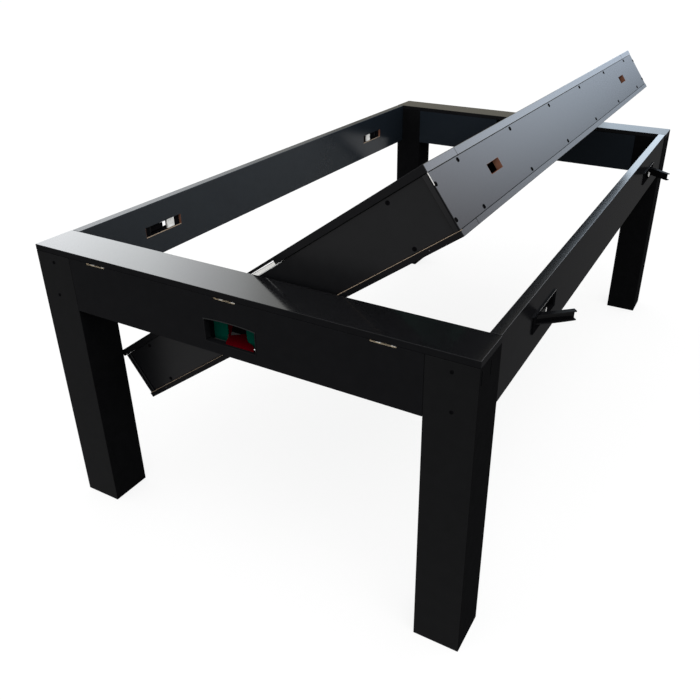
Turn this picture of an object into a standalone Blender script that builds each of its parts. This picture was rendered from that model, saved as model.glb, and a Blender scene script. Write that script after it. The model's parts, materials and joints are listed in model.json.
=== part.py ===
"""Revolving multi game table: a four-legged frame that carries a two-faced play cassette on end pivots.

Units are metres, +Z is up and +Y runs along the table. The front end is at -Y. The cassette has a
puck rink on one face and a pool table on the other. It rests at the angle of a half-made turn, with
its four latch levers swung out of the side rails.
"""

import math

import bmesh
import bpy
from mathutils import Vector

# Overall sizes
TABLE_LENGTH = 2.17
TABLE_WIDTH = 1.22
TABLE_HEIGHT = 0.80
APRON_HEIGHT = 0.164
LEG_SIDE = 0.117
BOARD = 0.016
EDGE_CHAMFER = 0.001
SEAM = 0.0003
OVERRUN = 0.004
ROUND_STEPS = 40

# Side rails
SIDE_RAIL_THICKNESS = 0.026
SIDE_RAIL_SETBACK = 0.002

# End rails: apron window, joint slots and the puck drop behind
WINDOW_WIDTH = 0.143
WINDOW_OFFSET = 0.0065
WINDOW_HEIGHT = 0.056
WINDOW_ARCH_RISE = 0.004
WINDOW_SILL_ABOVE_RAIL = 0.029
WINDOW_ARCH_STEPS = 10
WINDOW_TRIM_WIDTH = 0.0028
WINDOW_TRIM_STAND = 0.001
JOINT_SLOT_LENGTH = 0.061
JOINT_SLOT_HEIGHT = 0.0048
JOINT_SLOT_DEPTH = 0.010
JOINT_SLOT_PITCH = 0.401
PUCK_DROP_WIDTH = 0.226
PUCK_DROP_HEIGHT = 0.018
LEG_SLOT_WIDTH = 0.004
LEG_SLOT_HEIGHT = 0.034
LEG_SLOT_DEPTH = 0.008
LEG_SLOT_FROM_END = 0.009
LEG_SLOT_PITCH = 0.049
LEG_SLOT_BELOW_TOP = 0.026

# Return box behind the window
RETURN_BOX_WIDTH = 0.146
RETURN_PLATE_SETBACK = 0.035
RETURN_PLATE_THICKNESS = 0.003
RETURN_PLATE_DROP = 0.012
RETURN_PLATE_RISE = 0.016
RETURN_GATE_WIDTH = 0.055
RETURN_GATE_RISE = 0.010
RETURN_GATE_FLARE = 0.012
RETURN_GATE_STEPS = 5
RETURN_CHUTE_WALL = 0.003
RETURN_CHUTE_RUN = 0.028
RETURN_CHUTE_CHEEK_CUT = 0.024
RETURN_CHUTE_FLOOR_CUT = 0.036
RETURN_LIP_LEFT = 0.0125
RETURN_LIP_RIGHT = 0.068
RETURN_LIP_BOW = 0.006
RETURN_LIP_STEPS = 6
RETURN_LIP_THICKNESS = 0.002
RETURN_LIP_SETBACK = 0.006

# Cassette pivots
PIVOT_RADIUS = 0.010
PIVOT_FLANGE_RADIUS = 0.035
PIVOT_FLANGE_THICKNESS = 0.005
PIVOT_TAIL = 0.003
BUSH_RADIUS = 0.017
BUSH_FLANGE_RADIUS = 0.028
BUSH_FLANGE_THICKNESS = 0.004
RUNNING_GAP = 0.0003

# Cassette
REST_TILT_DEG = 35.8
CASSETTE_FACE_SINK = 0.002
CASSETTE_SWING_GAP = 0.0034
CASSETTE_FRONT_GAP = 0.008
CASSETTE_BACK_GAP = 0.042
SIDE_PANEL_END_INSET = 0.001
SIDE_PANEL_INSET_RIGHT = 0.001
SIDE_PANEL_INSET_LEFT = 0.010
END_PANEL_INSET = 0.006

# Puck face
RINK_BOARD = 0.018
RINK_BORDER = 0.078
RINK_CORNER_RADIUS = 0.070
GOAL_BRIDGE = 0.006
GOAL_WIDTH = 0.226
GOAL_PLATE_WIDTH = 0.256
GOAL_PLATE_THICKNESS = 0.002
PLAYFIELD_THICKNESS = 0.009
RINK_CORNER_STEPS = 8

# Pool face
POOL_BOARD = 0.014
POOL_BORDER = 0.080
POOL_BORDER_INSET_LEFT = 0.006
POOL_RAIL_DEPTH = 0.040
POOL_LIP_WIDTH = 0.020
BED_THICKNESS = 0.015
CORNER_POCKET_RADIUS = 0.052
CORNER_POCKET_INSET = 0.095
MIDDLE_POCKET_RADIUS = 0.045
MIDDLE_POCKET_INSET = 0.080
POCKET_CUP_DEPTH = 0.062
POCKET_CUP_WALL = 0.0025
CUSHION_WIDTH = 0.036
CUSHION_POCKET_GAP = 0.0012
CUSHION_CORNER_SLOPE = 1.0
CUSHION_MIDDLE_SLOPE = 0.35
CUSHION_SECTION_SHARES = ((0.0, 0.10), (0.80, 0.06), (1.0, 0.14), (1.0, 0.27), (0.0, 0.93))

# Latches
LATCH_FROM_LEG = 0.308
LATCH_CUTOUT_LENGTH = 0.150
LATCH_CUTOUT_HEIGHT = 0.032
LATCH_WALL = 0.002
LATCH_TRAY_DEPTH = 0.018
LATCH_TRAY_BACK = 0.0022
LATCH_BEZEL_LENGTH = 0.178
LATCH_BEZEL_HEIGHT = 0.044
LATCH_BEZEL_THICKNESS = 0.003
LATCH_PIVOT_DEPTH = 0.009
LATCH_PIVOT_FROM_END = 0.028
LATCH_PIN_RADIUS = 0.0025
LEVER_LENGTH = 0.103
LEVER_HEIGHT = 0.025
LEVER_WALL = 0.003
LEVER_BACK = 0.0025
LEVER_FRONT = 0.0105
LEVER_BOW = 0.002
LEVER_HUB_RADIUS = 0.006
LEVER_STATIONS = 8
TONGUE_REACH = 0.0615
TONGUE_ROOT_HALF_WIDTH = 0.005
TONGUE_TIP_RADIUS = 0.003
TONGUE_HEIGHT = 0.018
TONGUE_LEAD_DEG = 52.0
TONGUE_TIP_STEPS = 6
TONGUE_SLOT_BEHIND = 0.005
TONGUE_SLOT_MARGIN = 0.002
POCKET_LENGTH = 0.070
POCKET_HEIGHT = 0.024
LEVER_OPEN_FRONT_DEG = 48.0
LEVER_OPEN_BACK_DEG = 53.0

# Places worked out from the sizes above
HALF_LENGTH = TABLE_LENGTH / 2
HALF_WIDTH = TABLE_WIDTH / 2
RAIL_BOTTOM = TABLE_HEIGHT - APRON_HEIGHT
CAP_BOTTOM = TABLE_HEIGHT - BOARD
AXIS_HEIGHT = TABLE_HEIGHT - APRON_HEIGHT / 2
APRON_HALF = HALF_WIDTH - LEG_SIDE - SEAM
APRON_BACK = -HALF_LENGTH + BOARD
INNER_BOARD_FACE = -HALF_LENGTH + LEG_SIDE
WINDOW_SILL = RAIL_BOTTOM + WINDOW_SILL_ABOVE_RAIL
WINDOW_TOP = WINDOW_SILL + WINDOW_HEIGHT
RAIL_OUTER = HALF_WIDTH - SIDE_RAIL_SETBACK
RAIL_INNER = RAIL_OUTER - SIDE_RAIL_THICKNESS
CASSETTE_HALF_THICKNESS = APRON_HEIGHT / 2 - CASSETTE_FACE_SINK
CASSETTE_HALF_WIDTH = math.sqrt((RAIL_INNER - CASSETTE_SWING_GAP) ** 2 - CASSETTE_HALF_THICKNESS**2)
CASSETTE_HALF_LENGTH = HALF_LENGTH - LEG_SIDE - (CASSETTE_FRONT_GAP + CASSETTE_BACK_GAP) / 2
CASSETTE_MIDDLE = (CASSETTE_FRONT_GAP - CASSETTE_BACK_GAP) / 2
END_PANEL_FACE = CASSETTE_HALF_LENGTH - END_PANEL_INSET
END_PANEL_BACK = END_PANEL_FACE - BOARD
PANEL_LOW = -CASSETTE_HALF_THICKNESS + POOL_BOARD + SEAM
PANEL_HIGH = CASSETTE_HALF_THICKNESS - RINK_BOARD - SEAM
PANEL_RIGHT = CASSETTE_HALF_WIDTH - SIDE_PANEL_INSET_RIGHT
PANEL_LEFT = -CASSETTE_HALF_WIDTH + SIDE_PANEL_INSET_LEFT
CORE_RIGHT = PANEL_RIGHT - BOARD - SEAM
CORE_LEFT = PANEL_LEFT + BOARD + SEAM
BED_TOP = -CASSETTE_HALF_THICKNESS + POOL_RAIL_DEPTH + SEAM
LATCH_MIDDLE = HALF_LENGTH - LEG_SIDE - LATCH_FROM_LEG
LATCH_PIVOT_OFFSET = -LATCH_CUTOUT_LENGTH / 2 + LATCH_PIVOT_FROM_END
TRAY_HALF_LENGTH = LATCH_CUTOUT_LENGTH / 2 - SEAM
TRAY_HALF_HEIGHT = LATCH_CUTOUT_HEIGHT / 2 - SEAM
RETURN_PLATE_FACE = -HALF_LENGTH + RETURN_PLATE_SETBACK
CHUTE_FRONT = RETURN_PLATE_FACE + RETURN_PLATE_THICKNESS + SEAM
CHUTE_FLOOR = WINDOW_SILL + SEAM + RETURN_LIP_THICKNESS
CHUTE_TOP = WINDOW_TOP + WINDOW_ARCH_RISE + RETURN_GATE_RISE
REST_TILT = math.radians(REST_TILT_DEG)
TONGUE_LEAD = math.radians(TONGUE_LEAD_DEG)


def clear_scene():
    for old in list(bpy.data.objects):
        bpy.data.objects.remove(old, do_unlink=True)


def finish_material(name, colour, roughness, metallic=0.0):
    """One Principled material with the colour, roughness and metallic value of a finish."""
    made = bpy.data.materials.new(name)
    made.use_nodes = True
    shader = made.node_tree.nodes["Principled BSDF"]
    shader.inputs["Base Color"].default_value = (*colour, 1.0)
    shader.inputs["Roughness"].default_value = roughness
    shader.inputs["Metallic"].default_value = metallic
    made.diffuse_color = (*colour, 1.0)
    return made


def axis_empty(name, location, rotation=(0, 0, 0), parent=None):
    """An empty that stands on a joint's axis and carries the pieces that turn about it."""
    made = bpy.data.objects.new(name, None)
    made.location = location
    made.rotation_euler = rotation
    made.parent = parent
    bpy.context.scene.collection.objects.link(made)
    return made


def solid(name, shape, finish=None, parent=None):
    """Turns a bmesh into an object whose faces point outwards."""
    bmesh.ops.recalc_face_normals(shape, faces=shape.faces)
    mesh = bpy.data.meshes.new(name)
    shape.to_mesh(mesh)
    shape.free()
    made = bpy.data.objects.new(name, mesh)
    made.parent = parent
    if finish:
        mesh.materials.append(finish)
    bpy.context.scene.collection.objects.link(made)
    return made


def rings_shape(rings, closed=True):
    """A skin through rings of points with as many points each, with a cap at both ends."""
    shape = bmesh.new()
    rows = [[shape.verts.new(point) for point in ring] for ring in rings]
    count = len(rows[0])
    for row, following in zip(rows, rows[1:]):
        for index in range(count):
            after = (index + 1) % count
            shape.faces.new((row[index], row[after], following[after], following[index]))
    if closed:
        shape.faces.new(reversed(rows[0]))
        shape.faces.new(rows[-1])
    return shape


def placed(point, height, axis):
    """An outline point put at a height along the axis that the outline is pushed along."""
    first, second = point
    if axis == "X":
        return (height, first, second)
    if axis == "Y":
        return (first, height, second)
    return (first, second, height)


def prism_shape(outline, low, high, axis="Z"):
    """An outline pushed from low to high along an axis."""
    return rings_shape([[placed(point, height, axis) for point in outline] for height in (low, high)])


def box_shape(low, high):
    outline = ((low[0], low[1]), (high[0], low[1]), (high[0], high[1]), (low[0], high[1]))
    return prism_shape(outline, low[2], high[2])


def arc(centre, radius, start_deg, end_deg, steps):
    """Points along an arc, both ends included."""
    points = []
    for step in range(steps + 1):
        angle = math.radians(start_deg + (end_deg - start_deg) * step / steps)
        points.append((centre[0] + radius * math.cos(angle), centre[1] + radius * math.sin(angle)))
    return points


def circle(centre, radius, steps=ROUND_STEPS):
    return arc(centre, radius, 0, 360, steps)[:-1]


def ring_shape(section, steps=ROUND_STEPS):
    """A closed section of (radius, y) points turned about the Y axis."""
    shape = bmesh.new()
    rows = []
    for step in range(steps):
        angle = 2 * math.pi * step / steps
        turned = [(r * math.cos(angle), y, r * math.sin(angle)) for r, y in section]
        rows.append([shape.verts.new(point) for point in turned])
    for step, row in enumerate(rows):
        following = rows[(step + 1) % steps]
        for index in range(len(section)):
            after = (index + 1) % len(section)
            shape.faces.new((row[index], row[after], following[after], following[index]))
    return shape


def stepped_rod_shape(steps_along):
    """Round steps along the Y axis, each (radius, y), joined end to end."""
    rings = []
    for radius, y in steps_along:
        rings.append([(x, y, z) for x, z in circle((0, 0), radius)])
    return rings_shape(rings)


def chamfer(piece):
    edge = piece.modifiers.new("eased_edges", "BEVEL")
    edge.width = EDGE_CHAMFER
    edge.segments = 1
    edge.limit_method = "ANGLE"
    return piece


def combine(piece, operation, shape):
    """A Boolean of a piece with a helper that shares the piece's parent."""
    helper = solid(f"{piece.name}_{operation.lower()}_{len(piece.modifiers)}", shape, parent=piece.parent)
    helper.hide_render = True
    helper.display_type = "WIRE"
    step = piece.modifiers.new(helper.name, "BOOLEAN")
    step.operation = operation
    step.solver = "EXACT"
    step.object = helper
    return piece


def cut(piece, shape):
    return combine(piece, "DIFFERENCE", shape)


def join(piece, shape):
    return combine(piece, "UNION", shape)


def smooth(piece):
    piece.data.shade_smooth()
    piece.data.set_sharp_from_angle(angle=math.radians(35))
    return piece


def window_outline(margin=0.0):
    """The apron window, or its edge trim: straight sill and jambs under a low arch."""
    half = WINDOW_WIDTH / 2 + margin
    radius = (half**2 + WINDOW_ARCH_RISE**2) / (2 * WINDOW_ARCH_RISE)
    spread = math.degrees(math.asin(half / radius))
    centre = (WINDOW_OFFSET, WINDOW_TOP + WINDOW_ARCH_RISE + margin - radius)
    top = arc(centre, radius, 90 - spread, 90 + spread, WINDOW_ARCH_STEPS)
    sill = WINDOW_SILL - margin
    return [(WINDOW_OFFSET - half, sill), (WINDOW_OFFSET + half, sill), *top]


def end_apron(name, finish, parent):
    """The outer board of an end rail, with the window and three joint slots in its top edge."""
    top = CAP_BOTTOM - SEAM
    board = box_shape((-APRON_HALF, -HALF_LENGTH, RAIL_BOTTOM), (APRON_HALF, APRON_BACK, top))
    piece = chamfer(solid(name, board, finish, parent))
    trim_face = -HALF_LENGTH - WINDOW_TRIM_STAND
    join(piece, prism_shape(window_outline(WINDOW_TRIM_WIDTH), trim_face, APRON_BACK - BOARD / 2, "Y"))
    cut(piece, prism_shape(window_outline(), -HALF_LENGTH - OVERRUN, APRON_BACK + OVERRUN, "Y"))
    for place in (-1, 0, 1):
        low_x = place * JOINT_SLOT_PITCH - JOINT_SLOT_LENGTH / 2
        low = (low_x, -HALF_LENGTH - OVERRUN, top - JOINT_SLOT_HEIGHT)
        high = (low_x + JOINT_SLOT_LENGTH, -HALF_LENGTH + JOINT_SLOT_DEPTH, top + OVERRUN)
        cut(piece, box_shape(low, high))


def end_inner_board(name, finish, parent):
    """The inner board of an end rail, bored for the pivot bush and notched for the puck drop."""
    top = CAP_BOTTOM - SEAM
    low = (-APRON_HALF, INNER_BOARD_FACE - BOARD, RAIL_BOTTOM)
    piece = chamfer(solid(name, box_shape(low, (APRON_HALF, INNER_BOARD_FACE, top)), finish, parent))
    faces = (INNER_BOARD_FACE - BOARD - OVERRUN, INNER_BOARD_FACE + OVERRUN)
    cut(piece, prism_shape(circle((0, AXIS_HEIGHT), BUSH_RADIUS + SEAM), *faces, "Y"))
    half = PUCK_DROP_WIDTH / 2
    cut(piece, box_shape((-half, faces[0], top - PUCK_DROP_HEIGHT), (half, faces[1], top + OVERRUN)))


def end_cap(name, finish, parent):
    low = (-HALF_WIDTH, -HALF_LENGTH, CAP_BOTTOM)
    chamfer(solid(name, box_shape(low, (HALF_WIDTH, INNER_BOARD_FACE, TABLE_HEIGHT)), finish, parent))


def return_plate(name, finish, parent):
    """The lined back of the return box: two side walls and a plate whose gate flares at its foot."""
    half = RETURN_BOX_WIDTH / 2
    inner = half - RETURN_PLATE_THICKNESS
    front = APRON_BACK + SEAM
    back = RETURN_PLATE_FACE + RETURN_PLATE_THICKNESS
    outline = [(-half, front), (-half, back), (half, back), (half, front)]
    outline += [(inner, front), (inner, RETURN_PLATE_FACE), (-inner, RETURN_PLATE_FACE), (-inner, front)]
    low = WINDOW_SILL - RETURN_PLATE_DROP
    piece = solid(name, prism_shape(outline, low, CHUTE_TOP + RETURN_PLATE_RISE), finish, parent)
    gate = RETURN_GATE_WIDTH / 2
    flare = RETURN_GATE_FLARE
    foot = arc((gate + flare, WINDOW_SILL + flare), flare, 270, 180, RETURN_GATE_STEPS)
    opening = [*foot, (gate, CHUTE_TOP), (-gate, CHUTE_TOP), *[(-x, z) for x, z in reversed(foot)]]
    cut(piece, prism_shape(opening, RETURN_PLATE_FACE - OVERRUN, back + OVERRUN, "Y"))


def bowed(start, end, rise, steps):
    """Points from start to end along a flat bow that rises to the left of the way."""
    start, end = Vector(start), Vector(end)
    way = end - start
    left = Vector((-way.y, way.x)).normalized()
    shares = [step / steps for step in range(steps + 1)]
    return [tuple(start + way * share + left * rise * math.sin(math.pi * share)) for share in shares]


def return_chute(name, finish, parent):
    """The lined chute behind the gate, its open back cut askew, with a lip that fans out on the sill."""
    gate = RETURN_GATE_WIDTH / 2 - SEAM
    half = gate + RETURN_CHUTE_WALL
    back = CHUTE_FRONT + RETURN_CHUTE_RUN
    bottom = CHUTE_FLOOR - RETURN_CHUTE_WALL
    top = CHUTE_TOP + RETURN_CHUTE_WALL
    piece = solid(name, box_shape((-half, CHUTE_FRONT, bottom), (half, back, top)), finish, parent)
    cut(piece, box_shape((-gate, CHUTE_FRONT - OVERRUN, CHUTE_FLOOR), (gate, back + OVERRUN, CHUTE_TOP)))
    front = -HALF_LENGTH + RETURN_LIP_SETBACK
    mouth = RETURN_PLATE_FACE - SEAM
    edge = bowed((gate, mouth), (RETURN_LIP_RIGHT, front), RETURN_LIP_BOW, RETURN_LIP_STEPS)
    outline = [(-RETURN_LIP_LEFT, front), *reversed(edge), (gate, back - OVERRUN)]
    outline += [(-gate, back - OVERRUN), (-gate, mouth)]
    join(piece, prism_shape(outline, CHUTE_FLOOR - RETURN_LIP_THICKNESS, CHUTE_FLOOR))
    cheek = back - RETURN_CHUTE_CHEEK_CUT
    beyond = back + OVERRUN
    side_cut = [(cheek, bottom - OVERRUN), (beyond, bottom - OVERRUN), (beyond, top - OVERRUN)]
    cut(piece, prism_shape(side_cut, -half - OVERRUN, -gate + SEAM, "X"))
    reach = RETURN_CHUTE_FLOOR_CUT - gate
    floor_cut = [(-gate - SEAM, cheek), (-gate - SEAM, beyond), (reach, beyond)]
    cut(piece, prism_shape(floor_cut, bottom - OVERRUN, CHUTE_FLOOR + OVERRUN))


def pivot_bush(name, finish, parent):
    """A flanged bush in the inner board, its flange on the side away from the cassette."""
    bore = PIVOT_RADIUS + RUNNING_GAP
    seat = INNER_BOARD_FACE - BOARD - SEAM
    section = [
        (bore, INNER_BOARD_FACE),
        (bore, seat - BUSH_FLANGE_THICKNESS),
        (BUSH_FLANGE_RADIUS, seat - BUSH_FLANGE_THICKNESS),
        (BUSH_FLANGE_RADIUS, seat),
        (BUSH_RADIUS, seat),
        (BUSH_RADIUS, INNER_BOARD_FACE),
    ]
    axis = axis_empty(f"{name}_axis", (0, 0, AXIS_HEIGHT), parent=parent)
    smooth(solid(name, ring_shape(section), finish, axis))


def end_rail(end, finishes, turn):
    parent = axis_empty(f"{end}_end", (0, 0, 0), (0, 0, turn))
    end_apron(f"{end}_apron", finishes["laminate"], parent)
    end_inner_board(f"{end}_inner_board", finishes["laminate"], parent)
    end_cap(f"{end}_top_cap", finishes["laminate"], parent)
    return_plate(f"{end}_return_plate", finishes["green_lining"], parent)
    return_chute(f"{end}_return_chute", finishes["red_lining"], parent)
    pivot_bush(f"{end}_pivot_bush", finishes["steel"], parent)


def leg(name, side, end, finish):
    """A full-height corner post, with two narrow slots in its outer side below the cap."""
    outer = (side * HALF_WIDTH, end * HALF_LENGTH)
    inner = (outer[0] - side * LEG_SIDE, outer[1] - end * LEG_SIDE)
    low = (min(outer[0], inner[0]), min(outer[1], inner[1]), 0)
    high = (max(outer[0], inner[0]), max(outer[1], inner[1]), CAP_BOTTOM - SEAM)
    piece = chamfer(solid(name, box_shape(low, high), finish))
    across = sorted((side * (HALF_WIDTH - LEG_SLOT_DEPTH), side * (HALF_WIDTH + OVERRUN)))
    top = TABLE_HEIGHT - LEG_SLOT_BELOW_TOP
    half = LEG_SLOT_WIDTH / 2
    for number in range(2):
        middle = end * (HALF_LENGTH - LEG_SLOT_FROM_END - number * LEG_SLOT_PITCH)
        low = (across[0], middle - half, top - LEG_SLOT_HEIGHT)
        cut(piece, box_shape(low, (across[1], middle + half, top)))


def side_rail(name, side, finish):
    """A long rail between two legs, cut through for its two latches."""
    half = HALF_LENGTH - LEG_SIDE - SEAM
    across = sorted((side * RAIL_INNER, side * RAIL_OUTER))
    piece = solid(name, box_shape((across[0], -half, RAIL_BOTTOM), (across[1], half, TABLE_HEIGHT)), finish)
    chamfer(piece)
    reach = (LATCH_CUTOUT_LENGTH / 2, LATCH_CUTOUT_HEIGHT / 2)
    for end in (-1, 1):
        middle = end * LATCH_MIDDLE
        low = (across[0] - OVERRUN, middle - reach[0], AXIS_HEIGHT - reach[1])
        high = (across[1] + OVERRUN, middle + reach[0], AXIS_HEIGHT + reach[1])
        cut(piece, box_shape(low, high))


def handed_box(hand, low, high):
    """A box of the front right latch, with x outwards, turned over for another hand."""
    across = sorted((hand[0] * low[0], hand[0] * high[0]))
    along = sorted((hand[1] * low[1], hand[1] * high[1]))
    return box_shape((across[0], along[0], low[2]), (across[1], along[1], high[2]))


def latch_housing(name, hand, finish, parent):
    """A moulded tray let into the rail: bezel, lever well, tongue slot and pin holes."""
    half_bezel = (LATCH_BEZEL_LENGTH / 2, LATCH_BEZEL_HEIGHT / 2)
    face = SEAM + LATCH_BEZEL_THICKNESS
    bezel = handed_box(hand, (SEAM, -half_bezel[0], -half_bezel[1]), (face, *half_bezel))
    piece = solid(name, bezel, finish, parent)
    inside_bezel = SEAM + LATCH_BEZEL_THICKNESS / 2
    tray = (TRAY_HALF_LENGTH, TRAY_HALF_HEIGHT)
    join(piece, handed_box(hand, (-LATCH_TRAY_DEPTH, -tray[0], -tray[1]), (inside_bezel, *tray)))
    well = (TRAY_HALF_LENGTH - LATCH_WALL, TRAY_HALF_HEIGHT - LATCH_WALL)
    floor = -LATCH_TRAY_DEPTH + LATCH_TRAY_BACK
    cut(piece, handed_box(hand, (floor, -well[0], -well[1]), (face + OVERRUN, *well)))
    half_slot = TONGUE_HEIGHT / 2 + TONGUE_SLOT_MARGIN
    low = (-LATCH_TRAY_DEPTH - OVERRUN, LATCH_PIVOT_OFFSET - TONGUE_SLOT_BEHIND, -half_slot)
    slot_end = LATCH_PIVOT_OFFSET + TONGUE_REACH + TONGUE_SLOT_MARGIN
    cut(piece, handed_box(hand, low, (floor + OVERRUN, slot_end, half_slot)))
    hole = circle((-hand[0] * LATCH_PIVOT_DEPTH, hand[1] * LATCH_PIVOT_OFFSET), LATCH_PIN_RADIUS + SEAM)
    cut(piece, prism_shape(hole, -tray[1] - OVERRUN, tray[1] + OVERRUN))


def latch_pin(name, hand, finish, parent):
    centre = (-hand[0] * LATCH_PIVOT_DEPTH, hand[1] * LATCH_PIVOT_OFFSET)
    outline = circle(centre, LATCH_PIN_RADIUS)
    smooth(solid(name, prism_shape(outline, -TRAY_HALF_HEIGHT, TRAY_HALF_HEIGHT), finish, parent))


def lever_section(share, side):
    """The lever's C section in (x, z) at a share of its length; its front edges bow outwards."""
    front = LEVER_FRONT + LEVER_BOW * math.sin(math.pi * share)
    half = LEVER_HEIGHT / 2
    web = -LEVER_BACK + LEVER_WALL
    lip = half - LEVER_WALL
    section = [(-LEVER_BACK, -half), (front, -half), (front, -lip), (web, -lip)]
    section += [(web, lip), (front, lip), (front, half), (-LEVER_BACK, half)]
    return [(side * x, z) for x, z in section]


def tongue_outline(hand):
    """The tongue seen from above: it tapers from the hub to a round nose that points inwards."""
    along = Vector((-math.cos(TONGUE_LEAD), math.sin(TONGUE_LEAD)))
    beside = Vector((-along.y, along.x))
    nose = along * (TONGUE_REACH - TONGUE_TIP_RADIUS)
    points = [beside * TONGUE_ROOT_HALF_WIDTH]
    for step in range(TONGUE_TIP_STEPS + 1):
        angle = math.pi * step / TONGUE_TIP_STEPS
        points.append(nose + (beside * math.cos(angle) + along * math.sin(angle)) * TONGUE_TIP_RADIUS)
    points.append(-beside * TONGUE_ROOT_HALF_WIDTH)
    return [(hand[0] * point.x, hand[1] * point.y) for point in points]


def latch_lever(name, hand, finish, parent):
    """Grip, hub and tongue in one moulding, drawn closed about its hinge axis."""
    rings = []
    for station in range(LEVER_STATIONS + 1):
        share = station / LEVER_STATIONS
        along = hand[1] * LEVER_LENGTH * share
        rings.append([(x, along, z) for x, z in lever_section(share, hand[0])])
    piece = solid(name, rings_shape(rings), finish, parent)
    half = LEVER_HEIGHT / 2
    join(piece, prism_shape(circle((0, 0), LEVER_HUB_RADIUS), -half, half))
    join(piece, prism_shape(tongue_outline(hand), -TONGUE_HEIGHT / 2, TONGUE_HEIGHT / 2))
    bore = circle((0, 0), LATCH_PIN_RADIUS + RUNNING_GAP)
    cut(piece, prism_shape(bore, -half - OVERRUN, half + OVERRUN))


def latch(end_name, end, side_name, side, finishes):
    """One latch on its seat; its pin is at the outer end and the grip points to the table's middle."""
    label = f"{end_name}_{side_name}"
    hand = (side, -end)
    seat = axis_empty(f"latch_seat_{label}", (side * RAIL_OUTER, end * LATCH_MIDDLE, AXIS_HEIGHT))
    latch_housing(f"latch_housing_{label}", hand, finishes["black_plastic"], seat)
    latch_pin(f"latch_pin_{label}", hand, finishes["steel"], seat)
    open_deg = LEVER_OPEN_FRONT_DEG if end < 0 else LEVER_OPEN_BACK_DEG
    hinge_place = (-side * LATCH_PIVOT_DEPTH, hand[1] * LATCH_PIVOT_OFFSET, 0)
    turn = (0, 0, side * end * math.radians(open_deg))
    hinge = axis_empty(f"latch_hinge_{label}", hinge_place, turn, seat)
    latch_lever(f"latch_lever_{label}", hand, finishes["black_plastic"], hinge)


def side_panel(name, side, finish, parent):
    """A long side of the cassette, with the two pockets that the latch tongues enter."""
    outer = PANEL_RIGHT if side > 0 else PANEL_LEFT
    across = sorted((outer, outer - side * BOARD))
    half = CASSETTE_HALF_LENGTH - SIDE_PANEL_END_INSET
    board = box_shape((across[0], -half, PANEL_LOW), (across[1], half, PANEL_HIGH))
    piece = chamfer(solid(name, board, finish, parent))
    for end in (-1, 1):
        middle = end * LATCH_MIDDLE
        low = (across[0] - OVERRUN, middle - POCKET_LENGTH / 2, -POCKET_HEIGHT / 2)
        high = (across[1] + OVERRUN, middle + POCKET_LENGTH / 2, POCKET_HEIGHT / 2)
        cut(piece, box_shape(low, high))


def end_panel(name, end, finish, parent):
    """An end of the cassette, set back from the boards, rebated along the top for the goal plate."""
    along = sorted((end * END_PANEL_FACE, end * END_PANEL_BACK))
    low = (CORE_LEFT, along[0], PANEL_LOW)
    piece = chamfer(solid(name, box_shape(low, (CORE_RIGHT, along[1], PANEL_HIGH)), finish, parent))
    half = GOAL_PLATE_WIDTH / 2 + SEAM
    low = (-half, along[0] - OVERRUN, PANEL_HIGH - GOAL_PLATE_THICKNESS - SEAM)
    cut(piece, box_shape(low, (half, along[1] + OVERRUN, PANEL_HIGH + OVERRUN)))


def goal_plate(name, end, finish, parent):
    """The smooth sill under a goal, let into the end panel's top edge."""
    half = GOAL_PLATE_WIDTH / 2
    along = sorted((end * END_PANEL_FACE, end * END_PANEL_BACK))
    low = (-half, along[0], PANEL_HIGH - GOAL_PLATE_THICKNESS)
    solid(name, box_shape(low, (half, along[1], PANEL_HIGH)), finish, parent)


def pivot_shaft(name, end, finish, parent):
    """A flange on the end panel with the stub that turns in the bush."""
    seat = END_PANEL_FACE + SEAM
    bush_back = HALF_LENGTH - LEG_SIDE + BOARD + SEAM + BUSH_FLANGE_THICKNESS
    tail = bush_back + PIVOT_TAIL - end * CASSETTE_MIDDLE
    shoulder = seat + PIVOT_FLANGE_THICKNESS
    steps = [(PIVOT_FLANGE_RADIUS, seat), (PIVOT_FLANGE_RADIUS, shoulder)]
    steps += [(PIVOT_RADIUS, shoulder), (PIVOT_RADIUS, tail)]
    smooth(solid(name, stepped_rod_shape([(radius, end * y) for radius, y in steps]), finish, parent))


def rink_end_board(name, end, finish, parent):
    """An end board of the puck face: round inner corners and a goal notched into its underside."""
    joint = RINK_BORDER + RINK_CORNER_RADIUS
    side = CASSETTE_HALF_WIDTH
    far = CASSETTE_HALF_LENGTH
    right = arc((side - joint, joint - far), RINK_CORNER_RADIUS, 0, -90, RINK_CORNER_STEPS)
    left = [(-x, y) for x, y in reversed(right)]
    outline = [(-side, -far), (side, -far), (side, joint - far), *right, *left, (-side, joint - far)]
    outline = [(x, -end * y) for x, y in outline]
    top = CASSETTE_HALF_THICKNESS
    bottom = top - RINK_BOARD
    piece = chamfer(solid(name, prism_shape(outline, bottom, top), finish, parent))
    half = GOAL_WIDTH / 2
    goal = sorted((end * (far + OVERRUN), end * (far - RINK_BORDER - OVERRUN)))
    cut(piece, box_shape((-half, goal[0], bottom - OVERRUN), (half, goal[1], top - GOAL_BRIDGE)))


def rink_side_board(name, side, finish, parent):
    """A side board of the puck face between the end boards."""
    top = CASSETTE_HALF_THICKNESS
    edge = side * CASSETTE_HALF_WIDTH
    across = sorted((edge, edge - side * RINK_BORDER))
    half = CASSETTE_HALF_LENGTH - RINK_BORDER - RINK_CORNER_RADIUS - SEAM
    low = (across[0], -half, top - RINK_BOARD)
    chamfer(solid(name, box_shape(low, (across[1], half, top)), finish, parent))


def playfield(name, finish, parent):
    half = END_PANEL_BACK - SEAM
    low = (CORE_LEFT, -half, PANEL_HIGH - PLAYFIELD_THICKNESS)
    solid(name, box_shape(low, (CORE_RIGHT, half, PANEL_HIGH)), finish, parent)


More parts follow.
